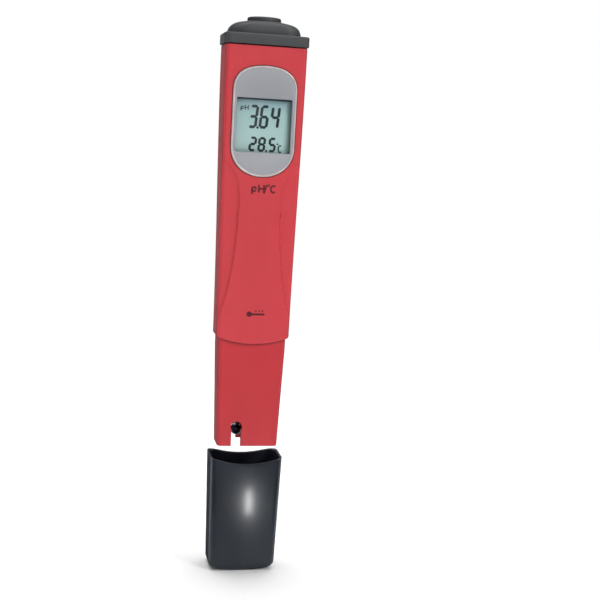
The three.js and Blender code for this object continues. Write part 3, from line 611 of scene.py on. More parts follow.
def circuit_board(name):
    """Green solder mask over a pattern of tracks, with tinned pads showing as dots."""
    s = Shader(name)
    turned = s.node("Mapping", Vector=s.place, Rotation=(math.pi / 2, 0, 0))
    tracks = s.node("TexBrick", Vector=turned.outputs[0], Scale=180.0, Mortar_Size=0.012,
                    Color1=(0.02, 0.17, 0.07, 1), Color2=(0.025, 0.20, 0.09, 1), Mortar=(0.04, 0.30, 0.13, 1))
    dots = s.node("TexVoronoi", Vector=s.place, Scale=420.0)
    pads = s.ramp(dots.outputs["Distance"], [(0.10, 1.0), (0.14, 0.0)])
    base = s.mix(pads, tracks.outputs["Color"], (0.62, 0.62, 0.60))
    relief = s.bump(tracks.outputs["Fac"], 0.03, 0.5)
    return s.surface(Base_Color=base, Metallic=pads, Roughness=0.38, Normal=relief)


def glass(name, tone, rough=0.02):
    """Blown laboratory glass with faint ripples."""
    s = Shader(name)
    s.surface(Normal=s.bump(s.noise(2.5, 2), 0.02, 0.3), Specular_IOR_Level=0.7)
    return s.surface(Base_Color=(*tone, 1), Roughness=rough, IOR=1.5, Transmission_Weight=1.0)


def foam(name):
    """Open-cell sponge with rounded pores."""
    s = Shader(name)
    pores = s.node("TexVoronoi", Vector=s.place, Scale=1 / (0.9 * MM))
    depth = s.fade(pores.outputs["Distance"], 0.15, 0.5)
    # Each pore is darker towards its middle: painted shade in the hollows.
    base = s.mix(depth, srgb(150, 120, 50), srgb(233, 212, 126))
    return s.surface(Base_Color=base, Roughness=0.95, Normal=s.bump(depth, 0.3, 0.9), Sheen_Weight=0.3)


def porous(name):
    """Unglazed ceramic."""
    s = Shader(name)
    grain = s.noise(0.2, 5)
    base = s.mix(s.fade(grain, 0.35, 0.65), srgb(214, 208, 196), srgb(240, 236, 228))
    return s.surface(Base_Color=base, Roughness=0.9, Normal=s.bump(grain, 0.03, 0.8))


RED = moulded_plastic("case_red", srgb(221, 63, 72), 0.42)
GUARD_RED = moulded_plastic("guard_red", srgb(212, 48, 57), 0.46)
GREY = moulded_plastic("cap_grey", srgb(78, 80, 83), 0.55, grain_mm=0.28, grain_depth=0.035, wear=0.5,
                       edge_mm=0.3, blotch=0.08)
BLACK = gloss_black("cover_black")
SILVER = silver_panel("panel_silver")
RIM = bright_rim("panel_rim")
CLEAR = clear_sheet("window_clear")
LCD = lcd_face("lcd_glass")
SEGMENT = ink("lcd_segment", srgb(38, 54, 58), 0.4)
PRINT = ink("printed_legend", srgb(92, 22, 30))
NYLON = moulded_plastic("holder_white", srgb(226, 222, 212), 0.5)
RUBBER = rubber("rubber_dark", srgb(42, 42, 44))
BOARD = circuit_board("board_green")
EPOXY = moulded_plastic("chip_black", srgb(40, 41, 44), 0.6, grain_mm=0.2, grain_depth=0.02)
STEEL = metal("steel", srgb(190, 192, 196), 0.28)
NICKEL = metal("nickel", srgb(214, 212, 204), 0.2, brushed=(1, 1, 1))
BRASS = metal("brass", srgb(205, 168, 92), 0.3, brushed=(1, 1, 1))
GLASS = glass("glass", (0.93, 0.97, 0.96))
# The bulb's glass is tinted near black: painted darkness standing in for the dark surroundings that the clear
# bulb reflects.
BULB_GLASS = glass("bulb_glass", (0.08, 0.09, 0.14), 0.04)
SILVER_WIRE = metal("silver_wire", srgb(148, 144, 138), 0.5)
CERAMIC = porous("porous_white")
BLUE = moulded_plastic("blue_plastic", srgb(44, 92, 168), 0.4)
SPONGE = foam("sponge")
LEAD_RED = rubber("lead_red", srgb(190, 50, 44), 0.5)
LEAD_BLACK = rubber("lead_black", srgb(44, 44, 46), 0.5)
LEAD_WHITE = rubber("lead_white", srgb(222, 222, 218), 0.5)


# ---- case sections -----------------------------------------------------------------------
# A size is half width, front, back, front and back edge radii, and the front's crown.


def case_size(height, inset=0.0):
    taper = smoothstep(*TAPER_SPAN, height)
    return (
        lerp(SKIRT_HALF, TOP_HALF + 0.01, taper) - inset,
        CASE_FRONT - inset,
        lerp(SKIRT_BACK, TOP_BACK, taper) - inset,
        max(1.9 - inset / 2, 0.5),
        8 - inset,
        0.25,
    )


def guard_size(height, inset=0.0):
    rise = min(max(height / 45, 0), 1)
    return (
        lerp(13.55, 14.95, rise) - inset,
        lerp(9.9, 10.7, rise) - inset,
        lerp(6.4, 7.2, rise) - inset,
        max(1.7 - inset / 2, 0.5),
        5.5 - inset,
        0.15,
    )


def cap_size(height, inset=0.0):
    rise = min(max((height - CAP_SEATED_FOOT) / (CAP_RIM - CAP_SEATED_FOOT), 0), 1.1)
    return (
        lerp(15, SKIRT_HALF, rise) - inset,
        lerp(11.2, CASE_FRONT, rise) - inset,
        lerp(7.7, SKIRT_BACK, rise) - inset,
        2.6 - 0.7 * inset,
        6.6 - inset,
        0.3,
    )


def front_half(size, part_y):
    """Section points from the left parting edge, round the front, to the right one."""
    half, front, _, radius, _, crown = size
    left, right = (-half + radius, -front), (half - radius, -front)
    return np.concatenate([
        line((-half, part_y), (-half, -front + radius), 10),
        arc(left[0], -front + radius, radius, 180, 270, 10),
        bezier([left, (0, -front - 2 * crown), right], 72),
        arc(right[0], -front + radius, radius, 270, 360, 10),
        line((half, -front + radius), (half, part_y), 10, last=True),
    ])


def back_half(size, part_y):
    """Section points from the right parting edge, round the back, to the left one."""
    half, _, back, _, radius, _ = size
    return np.concatenate([
        line((half, part_y), (half, back - radius), 4),
        arc(half - radius, back - radius, radius, 0, 90, 18),
        line((half - radius, back), (-half + radius, back), 40),
        arc(-half + radius, back - radius, radius, 90, 180, 18),
        line((-half, back - radius), (-half, part_y), 4, last=True),
    ])


def whole_section(size):
    """The closed section, starting in the middle of the left side."""
    middle = (size[2] - size[4] - size[1] + size[3]) / 2
    return np.concatenate([front_half(size, middle)[:-1], back_half(size, middle)[:-1]])


def at_height(points, height):
    """Plan points made three-dimensional, at one height or at a height each."""
    return np.column_stack([points, np.broadcast_to(height, len(points))])


def section_ring(size, height, inset=0.0, z=None):
    """The section that size gives at a height, lying there or at z."""
    return at_height(whole_section(size(height, inset)), height if z is None else z)


def skirt_lift(x):
    """How far the curved skirt edge has risen at x from its lowest point."""
    x = np.clip(np.abs(x), 0, SKIRT_ARC * 0.98)
    return SKIRT_ARC - np.sqrt(SKIRT_ARC * SKIRT_ARC - x * x)


def fillet(distance, radius):
    """How far a rounded edge stands back, this far from the edge."""
    d = max(0.0, radius - distance)
    return radius - math.sqrt(max(radius * radius - d * d, 0))


# ---- case halves -------------------------------------------------------------------------

LIFT_FADE = 22
LOW_ROUND, TOP_ROUND = 0.55, 0.4
SCOOP_INNER = 9.1
LAND = {"half": 11, "low": 144, "high": 172, "y": TOP_BACK + 0.3}


def scoop_edge():
    """The right-hand finger scoop's inner boundary, from top to bottom, as (x, z)."""
    return np.concatenate([
        bezier([(17.4, 126.4), (12.8, 125), (SCOOP_INNER, 120), (SCOOP_INNER, 110)], 40),
        line((SCOOP_INNER, 110), (SCOOP_INNER, 104), 10),
        bezier([(SCOOP_INNER, 104), (9.3, 94), (10.9, 70), (16.2, 58.5)], 60, last=True),
    ])


def scoop_depth(x, z):
    """Depth of the two finger scoops at points of the front: a crisp step inside their edge."""
    edge = scoop_edge()
    ax = np.abs(x)
    near = np.sqrt(((ax[:, None] - edge[:, 0]) ** 2 + (z[:, None] - edge[:, 1]) ** 2).min(1))
    boundary = np.interp(z, edge[::-1, 1], edge[::-1, 0], left=99, right=99)
    return 0.6 * smoothstep(-0.3, 0.6, np.where(ax > boundary, near, -near))


def press_scoops(points):
    x, y, z = points.T
    front = y < -CASE_FRONT + 1.9
    turn = np.clip((-y - CASE_FRONT + 1.9) / 1.9, 0, 1)
    points[front, 1] += (scoop_depth(x, z) * turn)[front]
    return points


def raise_land(points):
    """The low flat land on the back, where a rating label would sit."""
    x, y, z = points.T
    inside = np.minimum(LAND["half"] - np.abs(x), np.minimum(z - LAND["low"], LAND["high"] - z))
    blend = smoothstep(-0.05, 0.55, inside)
    on_back = y > 8
    points[on_back, 1] = lerp(y, LAND["y"], blend)[on_back]
    return points


def shell_rows():
    """Heights of the case's rows, close together at both edges, with the outer inset."""
    low = [(SKIRT_LOW + d, fillet(d, LOW_ROUND)) for d in (0, 0.04, 0.12, 0.24, 0.4, LOW_ROUND)]
    high = [(CASE_TOP - d, fillet(d, TOP_ROUND)) for d in (TOP_ROUND, 0.28, 0.15, 0.05, 0)]
    middle = np.linspace(SKIRT_LOW + LOW_ROUND, CASE_TOP - TOP_ROUND, 250)[1:-1]
    return low + [(z, 0.0) for z in middle] + high


def half_shell(name, path, part_y, shape_outside):
    """One case half: outside and inside skins joined along all their edges.

    The parting faces slope through the wall, so that the halves overlap and no light passes."""
    rings = []
    for height, outer_inset in shell_rows():
        wall = lerp(SOCKET_WALL, WALL, smoothstep(SHOULDER, SHOULDER + 1.2, height))
        outside = path(case_size(height, outer_inset), part_y)
        inside = path(case_size(height, wall), part_y + PART_SLOPE)[::-1]
        fade = 1 - smoothstep(SKIRT_LOW, SKIRT_LOW + LIFT_FADE, height)
        ring = np.concatenate([outside, inside])
        ring = at_height(ring, height + skirt_lift(ring[:, 0]) * fade)
        ring[: len(outside)] = shape_outside(ring[: len(outside)])
        rings.append(ring)
    count = len(rings[0])
    faces = stack_faces(count, len(rings))
    for start in (0, (len(rings) - 1) * count):
        for i in range(count // 2 - 1):
            mate = start + count - 1 - i
            faces.append((start + i, start + i + 1, mate - 1, mate))
    return make_object(name, np.concatenate(rings), faces)


def bezel_outline(grow=0.0, detail=24):
    half = BEZEL_HALF + grow
    top = BEZEL_TOP + grow
    low = BEZEL_LOW - grow
    shoulder = BEZEL_SHOULDER
    hip = BEZEL_LOW + 13
    return np.concatenate([
        line((half, hip), (half, shoulder), detail),
        bezier([(half, shoulder), (half, shoulder + 6.5), (half - 4.5, top), (0, top)], detail),
        bezier([(0, top), (-half + 4.5, top), (-half, shoulder + 6.5), (-half, shoulder)], detail),
        line((-half, shoulder), (-half, hip), detail),
        bezier([(-half, hip), (-half, low + 5), (-half + 6, low), (0, low)], detail),
        bezier([(0, low), (half - 6, low), (half, low + 5), (half, hip)], detail),
    ])


def bezel_seat():
    """The panel's outline grown by a gap, as a cutter from the front to the panel's back."""
    outline = bezel_outline(GAP)
    count = len(outline)
    points = [(x, y, z) for y in (-20, BEZEL_BACK + GAP) for x, z in outline]
    ends = [tuple(range(count)), tuple(range(2 * count - 1, count - 1, -1))]
    return make_object("seat", points, stack_faces(count, 2) + ends)


def screw_rods(radius, span_at, segments=48):
    """A rod on each screw's axis; span_at(head) gives its Y span."""
    return [rod("rod", radius, x, z, span_at(head), segments, axis="Y") for _, x, z, head in SCREWS]


def front_shell():
    shell = half_shell("front_shell", front_half, -PART_GAP, press_scoops)
    boolean(shell, screw_rods(2.3, lambda head: (-CASE_FRONT + 1, -PART_GAP)), "UNION")
    opening = (-VIEW_HALF - 1, VIEW_HALF + 1)
    boolean(shell, screw_rods(1.3, lambda head: (-8, 1), 32))
    boolean(shell, [bezel_seat(), block("opening", opening, (-20, -8), (VIEW_LOW - 1, VIEW_TOP + 1))])
    finish_piece(shell, RED)


def rear_shell():
    shell = half_shell("rear_shell", back_half, PART_GAP, raise_land)
    boolean(shell, screw_rods(3.1, lambda head: (PART_GAP, head + 1.6)), "UNION")
    shanks = screw_rods(1.4, lambda head: (-2, 14), 32)
    counterbores = screw_rods(2.4, lambda head: (head - GAP, 14))
    for pair in zip(shanks, counterbores):
        boolean(shell, pair)
    boolean(shell, [rod("trimmer_hole", 2.3, 0, TRIMMER_Z, (2, 14), axis="Y")])
    finish_piece(shell, RED)


def shell_screw(name, x, z, head):
    """Pan-head self-tapping screw with a cross recess and a threaded shank."""
    tip = box_mm(name)[0][1]
    dome = ((0, 1.4), (0.9, 1.38), (1.6, 1.15), (1.95, 0.7), (2.0, 0.2), (1.95, 0), (1.0, 0))
    profile = [(radius, head + up) for radius, up in dome]
    pitch = 0.8
    depth = head - 0.4
    while depth > tip + 1.1:
        profile += [(0.75, depth), (1.0, depth - pitch / 2)]
        depth -= pitch
    profile += [(0.6, tip + 0.6), (0, tip)]
    screw = lathe(name, profile, x, z, 40, axis="Y")
    for wide, tall in ((0.28, 1.2), (1.2, 0.28)):
        boolean(screw, [block("slot", (x - wide, x + wide), (head + 0.6, 14), (z - tall, z + tall))])
    finish_piece(screw, STEEL)


# ---- display -----------------------------------------------------------------------------


def inward(outline_xz, distance):
    """An outline moved inwards along its own normals; it runs anticlockwise seen from the front."""
    along = np.roll(outline_xz, -1, 0) - np.roll(outline_xz, 1, 0)
    along /= np.linalg.norm(along, axis=1)[:, None]
    return outline_xz + distance * np.stack([-along[:, 1], along[:, 0]], 1)


def display_bezel():
    """A flat panel inside a raised bright bead, opened for the display."""
    outline = bezel_outline(0, 32)
    deck = BEZEL_FRONT + 0.35
    bead = BEZEL_BEAD
    steps = [(0.12, BEZEL_BACK), (0, BEZEL_BACK - 0.12), (0, BEZEL_FRONT + 0.3)]
    for angle in np.radians(np.linspace(10, 170, 9)):
        steps.append((bead / 2 - bead / 2 * math.cos(angle), BEZEL_FRONT + 0.3 - 0.3 * math.sin(angle)))
    steps += [(bead + 0.02, deck - 0.02), (bead + 0.1, deck), (bead + 0.5, deck)]
    rings = [at_height(inward(outline, distance), y)[:, [0, 2, 1]] for distance, y in steps]
    panel = skin("display_bezel", rings)
    boolean(panel, [view_opening(), view_chamfer(deck)])
    finish_piece(panel, SILVER, angle=50)
    panel.data.materials.append(RIM)
    limit = inward(outline, bead + 0.01)
    for face in panel.data.polygons:
        x, _, z = face.center / MM
        if not inside_outline(x, z - TIP, limit):
            face.material_index = 1


def view_opening():
    """The window opening's cutter, its four upright corners rounded."""
    tool = block("view", (-VIEW_HALF, VIEW_HALF), (-20, 0), (VIEW_LOW, VIEW_TOP))
    work = bmesh.new()
    work.from_mesh(tool.data)
    upright = [e for e in work.edges if abs(e.verts[0].co.y - e.verts[1].co.y) > 0.005]
    bmesh.ops.bevel(work, geom=upright, offset=0.6 * MM, segments=5, affect="EDGES", profile=0.5)
    work.to_mesh(tool.data)
    work.free()
    return tool


def view_chamfer(deck):
    """A shallow funnel that breaks the opening's front edge."""
    corners = []
    for grow, y in ((0.45, deck - 0.25), (-0.1, deck + 0.3)):
        half, low, high = VIEW_HALF + grow, VIEW_LOW - grow, VIEW_TOP + grow
        corners += [(-half, y, low), (half, y, low), (half, y, high), (-half, y, high)]
    return make_object("chamfer", corners, [*stack_faces(4, 2), (0, 1, 2, 3), (7, 6, 5, 4)])


def inside_outline(x, z, outline):
    """Whether a point lies inside a closed outline, by counting crossings."""
    after = np.roll(outline, -1, 0)
    spans = (outline[:, 1] > z) != (after[:, 1] > z)
    a, b = outline[spans], after[spans]
    cross = a[:, 0] + (z - a[:, 1]) * (b[:, 0] - a[:, 0]) / (b[:, 1] - a[:, 1])
    return (cross > x).sum() % 2 == 1


def display_window():
    half = VIEW_HALF + 0.7
    low, high = box_mm("display_window")
    sheet = block("display_window", (-half, half), (low[1], high[1]), (VIEW_LOW - 0.7, VIEW_TOP + 0.7))
    bevelled(sheet, 0.15)
    finish_piece(sheet, CLEAR)


SEGMENTS = {
    "2": "abged", "3": "abgcd", "4": "fgbc", "5": "afgcd", "6": "afgedc", "8": "abcdefg",
}
SLANT = 0.09


def segment_bar(ends, width):
    """A pointed bar between two points."""
    (x0, z0), (x1, z1) = ends
    length = math.hypot(x1 - x0, z1 - z0)
    ux, uz = (x1 - x0) / length, (z1 - z0) / length
    nx, nz = -uz * width / 2, ux * width / 2
    tip = width * 0.32
    return [
        (x0, z0), (x0 + ux * tip + nx, z0 + uz * tip + nz), (x1 - ux * tip + nx, z1 - uz * tip + nz),
        (x1, z1), (x1 - ux * tip - nx, z1 - uz * tip - nz), (x0 + ux * tip - nx, z0 + uz * tip - nz),
    ]


def digit_bars(character, left, low, width, height, stroke):
    """The seven-segment bars of one digit, leaning right."""
    gap = stroke * 0.06
    middle = low + height / 2
    right = left + width
    top = low + height
    spans = {
        "a": ((left + gap, top), (right - gap, top)),
        "g": ((left + gap, middle), (right - gap, middle)),
        "d": ((left + gap, low), (right - gap, low)),
        "f": ((left, middle + gap), (left, top - gap)),
        "b": ((right, middle + gap), (right, top - gap)),
        "e": ((left, low + gap), (left, middle - gap)),
        "c": ((right, low + gap), (right, middle - gap)),
    }
    bars = [segment_bar(spans[key], stroke) for key in SEGMENTS[character]]
    return [[(x + (z - low) * SLANT, z) for x, z in bar] for bar in bars]


def dot(x, z, size, sides=10):
    return arc(x, z, size, 0, 360, sides)


def arc_stroke(x, z, rx, rz, start, end, width, count=10):
    """A curved stroke as one closed strip."""
    t = np.radians(np.linspace(start, end, count))
    outer, inner = (
        np.stack([x + (rx + half) * np.cos(t), z + (rz + half) * np.sin(t)], 1)
        for half in (width / 2, -width / 2)
    )
    return np.concatenate([outer, inner[::-1]])


def plates(name, outlines, y, thickness, wall=None):
    """Thin closed plates, one for each outline, standing out from y or from a wall(x, z)."""
    points = []
    faces = []
    for outline in outlines:
        start = len(points)
        count = len(outline)
        for depth in (0, thickness):
            points += [(x, (y if wall is None else wall(x, z)) - depth, z) for x, z in outline]
        sides = [tuple(start + k for k in face) for face in stack_faces(count, 2)]
        faces += [*sides, range(start, start + count), range(start + 2 * count - 1, start + count - 1, -1)]
    return make_object(name, points, faces)


def display_reading():
    """The shown reading: a large value, a smaller temperature, and two unit marks."""
    outlines = []
    for i, character in enumerate("364"):
        outlines += digit_bars(character, -6.1 + 4.75 * i, VIEW_LOW + 10.8, 2.8, 8.8, 1.2)
    for left, character in zip((-5.4, -1.5, 3.1), "285"):
        outlines += digit_bars(character, left, VIEW_LOW + 0.85, 2.3, 5.3, 1.05)
    outlines += [
        dot(-2.3, VIEW_LOW + 10.6, 0.55),
        dot(2.0, VIEW_LOW + 0.75, 0.5),
        dot(6.8, VIEW_LOW + 3.9, 0.4, 12),
        arc_stroke(8.0, VIEW_LOW + 1.9, 0.8, 1.45, 55, 305, 0.6),
        *unit_ph(-9.8, VIEW_TOP - 5.2, 2.1, 0.42),
    ]
    finish_piece(plates("lcd_reading", outlines, LCD_FRONT - 0.02, 0.05), SEGMENT)


def lcd_shadow_line():
    """A dark strip along the display's top edge, under the opening's top: a painted shadow standing in for
    the shade that the opening's edge casts on the display.
    """
    half = VIEW_HALF + 0.5
    low, top = VIEW_TOP - 0.7, VIEW_TOP + 0.5
    bar = [(-half, low), (half, low), (half, top), (-half, top)]
    finish_piece(plates("lcd_shadow_line", [bar], LCD_FRONT - 0.02, 0.05), SEGMENT)


def unit_ph(left, low, height, stroke):
    """The unit mark pH drawn with bars and a bowl."""
    small = height * 0.7
    bowl = arc_stroke(left + small * 0.36, low + small * 0.62, small * 0.34, small * 0.36, 0, 330, stroke, 16)
    x = left + height * 0.85
    right = x + height * 0.62
    middle = low + height / 2
    bars = (
        ((left, low - height * 0.25), (left, low + small)),
        ((x, low), (x, low + height)),
        ((right, low), (right, low + height)),
        ((x + stroke * 0.4, middle), (right - stroke * 0.4, middle)),
    )
    return [bowl, *(segment_bar(ends, stroke) for ends in bars)]


def lcd_module():
    finish_piece(node_block("lcd_module", 0.12, 2), LCD)


def case_front_wall(x, z):
    """The case's front surface at a point away from the scoops."""
    half, front, _, radius, _, crown = case_size(z)
    t = (x + half - radius) / (2 * (half - radius))
    return -front - 4 * crown * t * (1 - t) + 0.01


def legend():
    """Printed unit legend under the display, and a small thermometer mark near the skirt."""
    base = 113.2
    tall = 3.5
    stroke = 0.72
    return [
        *unit_ph(-3.7, base, tall, stroke),
        segment_bar(((1.5, base - 0.3), (2.6, base + tall + 0.1)), stroke * 0.9),
        arc_stroke(3.5, base + tall - 0.3, 0.42, 0.42, 0, 345, 0.34, 14),
        arc_stroke(5.6, base + tall / 2, 1.15, 1.42, 50, 310, stroke, 18),
        *thermometer(0.6, 58.4),
    ]


def thermometer(x, low):
    """A bulb thermometer lying on its side, with three scale ticks."""
    bulb = dot(x - 2.9, low + 1.7, 1.2, 20)
    stem = segment_bar(((x - 2.2, low + 1.7), (x + 4.0, low + 1.7)), 0.85)
    ticks = [segment_bar(((x + k, low + 2.7), (x + k, low + 3.6)), 0.5) for k in (0.0, 1.5, 3.0)]
    return [bulb, stem, *ticks]


def printed_legend():
    finish_piece(plates("printed_legend", legend(), 0, 0.04, case_front_wall), PRINT)


# ---- battery cap and button --------------------------------------------------------------

DOME_BASE = (15.7, 10.9, 7.5)
DOME_CREST = (8.5, 8.3, 7.4)
DOME_SUNK = 0.6
DOME_WALL = 1.5
DOME_PROFILE = ((1, 0), (1, 0.78), (0.66, 0.87), (0, 1))


def at_angles(points, angles):
    """Points of a closed convex outline in the given directions from its middle."""
    around = np.arctan2(points[:, 1], points[:, 0])
    order = np.argsort(around)
    around, points = around[order], points[order]
    after = np.searchsorted(around, angles) % len(around)
    a = points[after - 1]
    edge = points[after] - a
    toward = np.stack([np.cos(angles), np.sin(angles)], 1)
    reach = a[:, 0] * edge[:, 1] - a[:, 1] * edge[:, 0]
    return toward * (reach / (toward[:, 0] * edge[:, 1] - toward[:, 1] * edge[:, 0]))[:, None]


def flange_outline(grow):
    half, front, back, _, radius, crown = case_size(CASE_TOP, -grow)
    return whole_section((half, front, back, 2.4 + grow - FLANGE_OVERHANG, radius, crown))


def dome_outline(share, inset=0.0):
    """The dome's plan with a share of its base size left; 0 is its nearly round crest."""
    half, depth, radius = (lerp(a, b, share) - inset for a, b in zip(DOME_CREST, DOME_BASE))
    return whole_section((half, depth, depth, radius, radius, 0))


def battery_cap():
    """One closed wall, from the button's hole out over dome and flange, then back inside."""
    angles = np.sort(np.arctan2(*flange_outline(0)[::2].T[::-1]))
    rings = []

    def ring(points, height):
        rings.append(at_height(at_angles(points, angles), height))

    def round_ring(radius, height):
        ring(arc(0, 0, radius, 0, 360, 240), height)

    dome_low = FLANGE_TOP - DOME_SUNK
    rise = DOME_TOP - dome_low
    for grow, down in ((0.5, 1.4), (0.5, 0.3), (0.58, 0.1)):
        round_ring(BUTTON_RADIUS + grow, DOME_TOP - down)
    ring(dome_outline(0, 0.12), DOME_TOP)
    for share, up in bezier(DOME_PROFILE, 30, last=True)[::-1]:
        if dome_low + rise * up > FLANGE_TOP + 0.45:
            ring(dome_outline(share), dome_low + rise * up)
    for across, up in rounding(0.45, 0, 80, 5):
        ring(dome_outline(1, -across), FLANGE_TOP + up)
    for across, down in rounding(0.7, 90, 0, 8):
        ring(flange_outline(FLANGE_OVERHANG - across), FLANGE_TOP - down)
    for across, up in rounding(0.35, 0, 90, 5):
        ring(flange_outline(FLANGE_OVERHANG - across), FLANGE_LOW + up)
    ring(flange_outline(-1.2), FLANGE_LOW)
    for deeper, height in (
        (0, FLANGE_LOW), (0, GROOVE_TOP + 0.05), (0, GROOVE_TOP), (0.65, GROOVE_TOP),
        (0.65, GROOVE_LOW), (0, GROOVE_LOW), (0, GROOVE_LOW - 0.05), (0, CAP_LOW + 0.2),
        (0.2, CAP_LOW), (1.1, CAP_LOW), (1.3, CAP_LOW + 0.2), (1.3, 178.2),
    ):
        ring(whole_section(case_size(PLUG_SIZE_AT, WALL + GAP + deeper)), height)
    for share, up in bezier(DOME_PROFILE, 10)[1:]:
        height = dome_low + rise * up - DOME_WALL
        if height > 178.6 and share > 0.3:
            ring(dome_outline(share, DOME_WALL), height)
    for radius, height in ((9.4, 182.4), (9.0, 182.9), (8.3, DOME_TOP - 1.8)):
        round_ring(radius, height)
    finish_piece(skin("battery_cap", rings, wrap=True), GREY, "battery_cap", angle=40)


def ring_seal(name, body, size, nominal, insets):
    """A rubber ring of rounded section, along the outline that size gives at nominal."""
    outer, inner = insets
    low, high = heights(name)
    rings = []
    for angle in np.radians(np.linspace(0, 360, 12, endpoint=False)):
        bulge = 0.84 / max(abs(math.cos(angle)), abs(math.sin(angle))) ** 0.5
        inset = (outer + inner) / 2 - (inner - outer) / 2 * bulge * math.cos(angle)
        height = (low + high) / 2 + (high - low) / 2 * bulge * math.sin(angle)
        rings.append(section_ring(size, nominal, inset, height))
    finish_piece(skin(name, rings, wrap=True), RUBBER, body, angle=60)


def power_button():
    """A round button with a softly dished top over a wide hidden flange, and a leg below."""
    low = BUTTON_FLANGE_LOW
    shoulder = low + 1.4
    roof = BUTTON_TOP - 1.6
    side = BUTTON_RADIUS - 0.12
    edge = 0.7
    profile = [
        (0, low), (2.2, low), (2.2, roof), (5.7, roof), (5.7, low), (8.9, low),
        (8.9, shoulder - 0.2), (8.7, shoulder), (BUTTON_RADIUS + 0.15, shoulder),
    ]
    profile += [(side - across, BUTTON_TOP - down) for across, down in rounding(edge, 0, 90, 9)]
    dish = ((0.93, 0.02), (0.85, 0.09), (0.7, 0.18), (0.4, 0.26), (0, 0.28))
    profile += [((side - edge) * share, BUTTON_TOP - sunk) for share, sunk in dish]
    button = lathe("power_button", profile, segments=128)
    leg_low = heights("power_button")[0]
    boolean(button, [rod("leg", 1.3, 0, PLUNGER_Y, (leg_low, low + 0.5))], "UNION")
    finish_piece(button, GREY, "power_button", angle=40)


def button_return_spring():
    low, high, wire = 178, BUTTON_TOP - 2, 0.3
    spring = tube("button_return_spring", helix(3.6, low, high, 4, 0, 0), wire)
    finish_piece(spring, STEEL, "battery_cap", angle=70)
    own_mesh(spring)


def button_retainer():
    """The plate under the button: two posts for the bridge plate and a cup for the spring."""
    (left, front, _), (right, back, _) = box_mm("button_retainer")
    foot, rim = heights("button_retainer")
    low, high = rim - 2.6, rim - 1.4
    plate = block("button_retainer", (left, right), (front, back), (low, high))
    bevelled(plate, 0.3)
    posts = [rod("post", 1.2, 10.4 * side, CELL_Y, (foot, low + 0.3)) for side in (-1, 1)]
    cup = lathe("cup", [(2.3, high - 0.2), (2.8, high - 0.2), (2.8, rim), (2.3, rim)], closed=True)
    boolean(plate, [*posts, cup], "UNION")
    boolean(plate, [rod("hole", 1.7, 0, PLUNGER_Y, (foot, rim))])
    finish_piece(plate, GREY, "battery_cap")


def cell_bridge_plate():
    bridge = node_block("cell_bridge_plate", 0.12, 2)
    low, high = heights("cell_bridge_plate")
    boolean(bridge, [rod("rivet_hole", 0.7, 0, CELL_Y, (low - 1, high + 1), 24)])
    finish_piece(bridge, NICKEL, "battery_cap")


# ---- cells and their holder --------------------------------------------------------------


def battery_holder():
    """Two round wells side by side, joined by a web."""
    low, top = heights("battery_holder")
    floor = low + 1
    profile = [
        (0, low), (6.3, low), (6.55, low + 0.3), (6.55, top - 0.2), (6.4, top),
        (6.2, top), (6.1, top - 0.2), (6.1, floor), (0, floor),
    ]
    holder, other = (
        lathe("battery_holder", profile, CELL_X * side, CELL_Y, 80) for side in (-1, 1)
    )
    boolean(holder, [other, block("web", (-CELL_X, CELL_X), (-3.2, 8.9), (low, top))], "UNION")
    boolean(holder, [rod("bore", 6.1, CELL_X * side, CELL_Y, (floor, top + 1), 80) for side in (-1, 1)])
    finish_piece(holder, NYLON)


def button_cell(name):
    base, top = heights(name)
    r = CELL_RADIUS
    profile = rounded_profile([
        (0, base), (r, base), (r, top - 0.75), (r - 0.5, top - 0.62), (r - 0.8, top - 0.62),
        (r - 0.8, top - 0.85), (r - 1.1, top - 0.85), (r - 1.2, top), (0, top),
    ], 0.3, 4)
    finish_piece(lathe(name, profile, *middle(name), 72), NICKEL)


def cell_springs():
    for name, side in (("cell_spring_left", -1), ("cell_spring_right", 1)):
        coil = helix(3.4, 155.9, 157.7, 2.5, CELL_X * side, CELL_Y)
        finish_piece(tube(name, coil, 0.25), NICKEL, angle=70)


# ---- probe -------------------------------------------------------------------------------


def probe_guard():
    """The tapered sleeve: rounded foot, slot with a round head through both faces, seal groove."""
    rings = [section_ring(guard_size, 0, inset, up) for up, inset in rounding(0.45, 0, 90, 6)]
    rings += [section_ring(guard_size, height) for height in np.linspace(1.2, 45, 40)]
    for inset, height in (
        (0, 52.9), (0, 53.0), (0.8, 53.0), (0.8, 54.6), (0, 54.6), (0, 54.7),
        (0, GUARD_TOP - 0.3), (0.3, GUARD_TOP), (GUARD_WALL, GUARD_TOP),
    ):
        rings.append(section_ring(guard_size, height, inset))
    for height in np.linspace(GUARD_TOP - 0.5, 0.5, 30):
        rings.append(section_ring(guard_size, height, GUARD_WALL))
    for thinner, height in ((0.2, 0.1), (0.4, 0)):
        rings.append(section_ring(guard_size, 0, GUARD_WALL - thinner, height))
    guard = skin("probe_guard", rings, wrap=True)
    half = SLOT_WIDTH / 2
    slot = block("slot", (SLOT_X - half, SLOT_X + half), (-20, 20), (-1, SLOT_HOLE))
    hole = rod("hole", SLOT_HOLE_RADIUS, SLOT_X, SLOT_HOLE, (-20, 20), 64, axis="Y")
    boolean(guard, [slot, hole])
    finish_piece(guard, GUARD_RED)


def probe_disc(name, material, holes):
    """A disc across the guard's inside, its rims broken, with a round hole for each rod."""
    low, high = heights(name)
    rings = []
    for inset, height in ((0.2, low), (0, low + 0.2), (0, high - 0.2), (0.2, high)):
        rings.append(section_ring(guard_size, height, GUARD_WALL + GAP + inset))
    disc = skin(name, rings)
    boolean(disc, [rod("hole", radius, x, PROBE_Y, (low - 1, high + 1)) for x, radius in holes])
    finish_piece(disc, material)


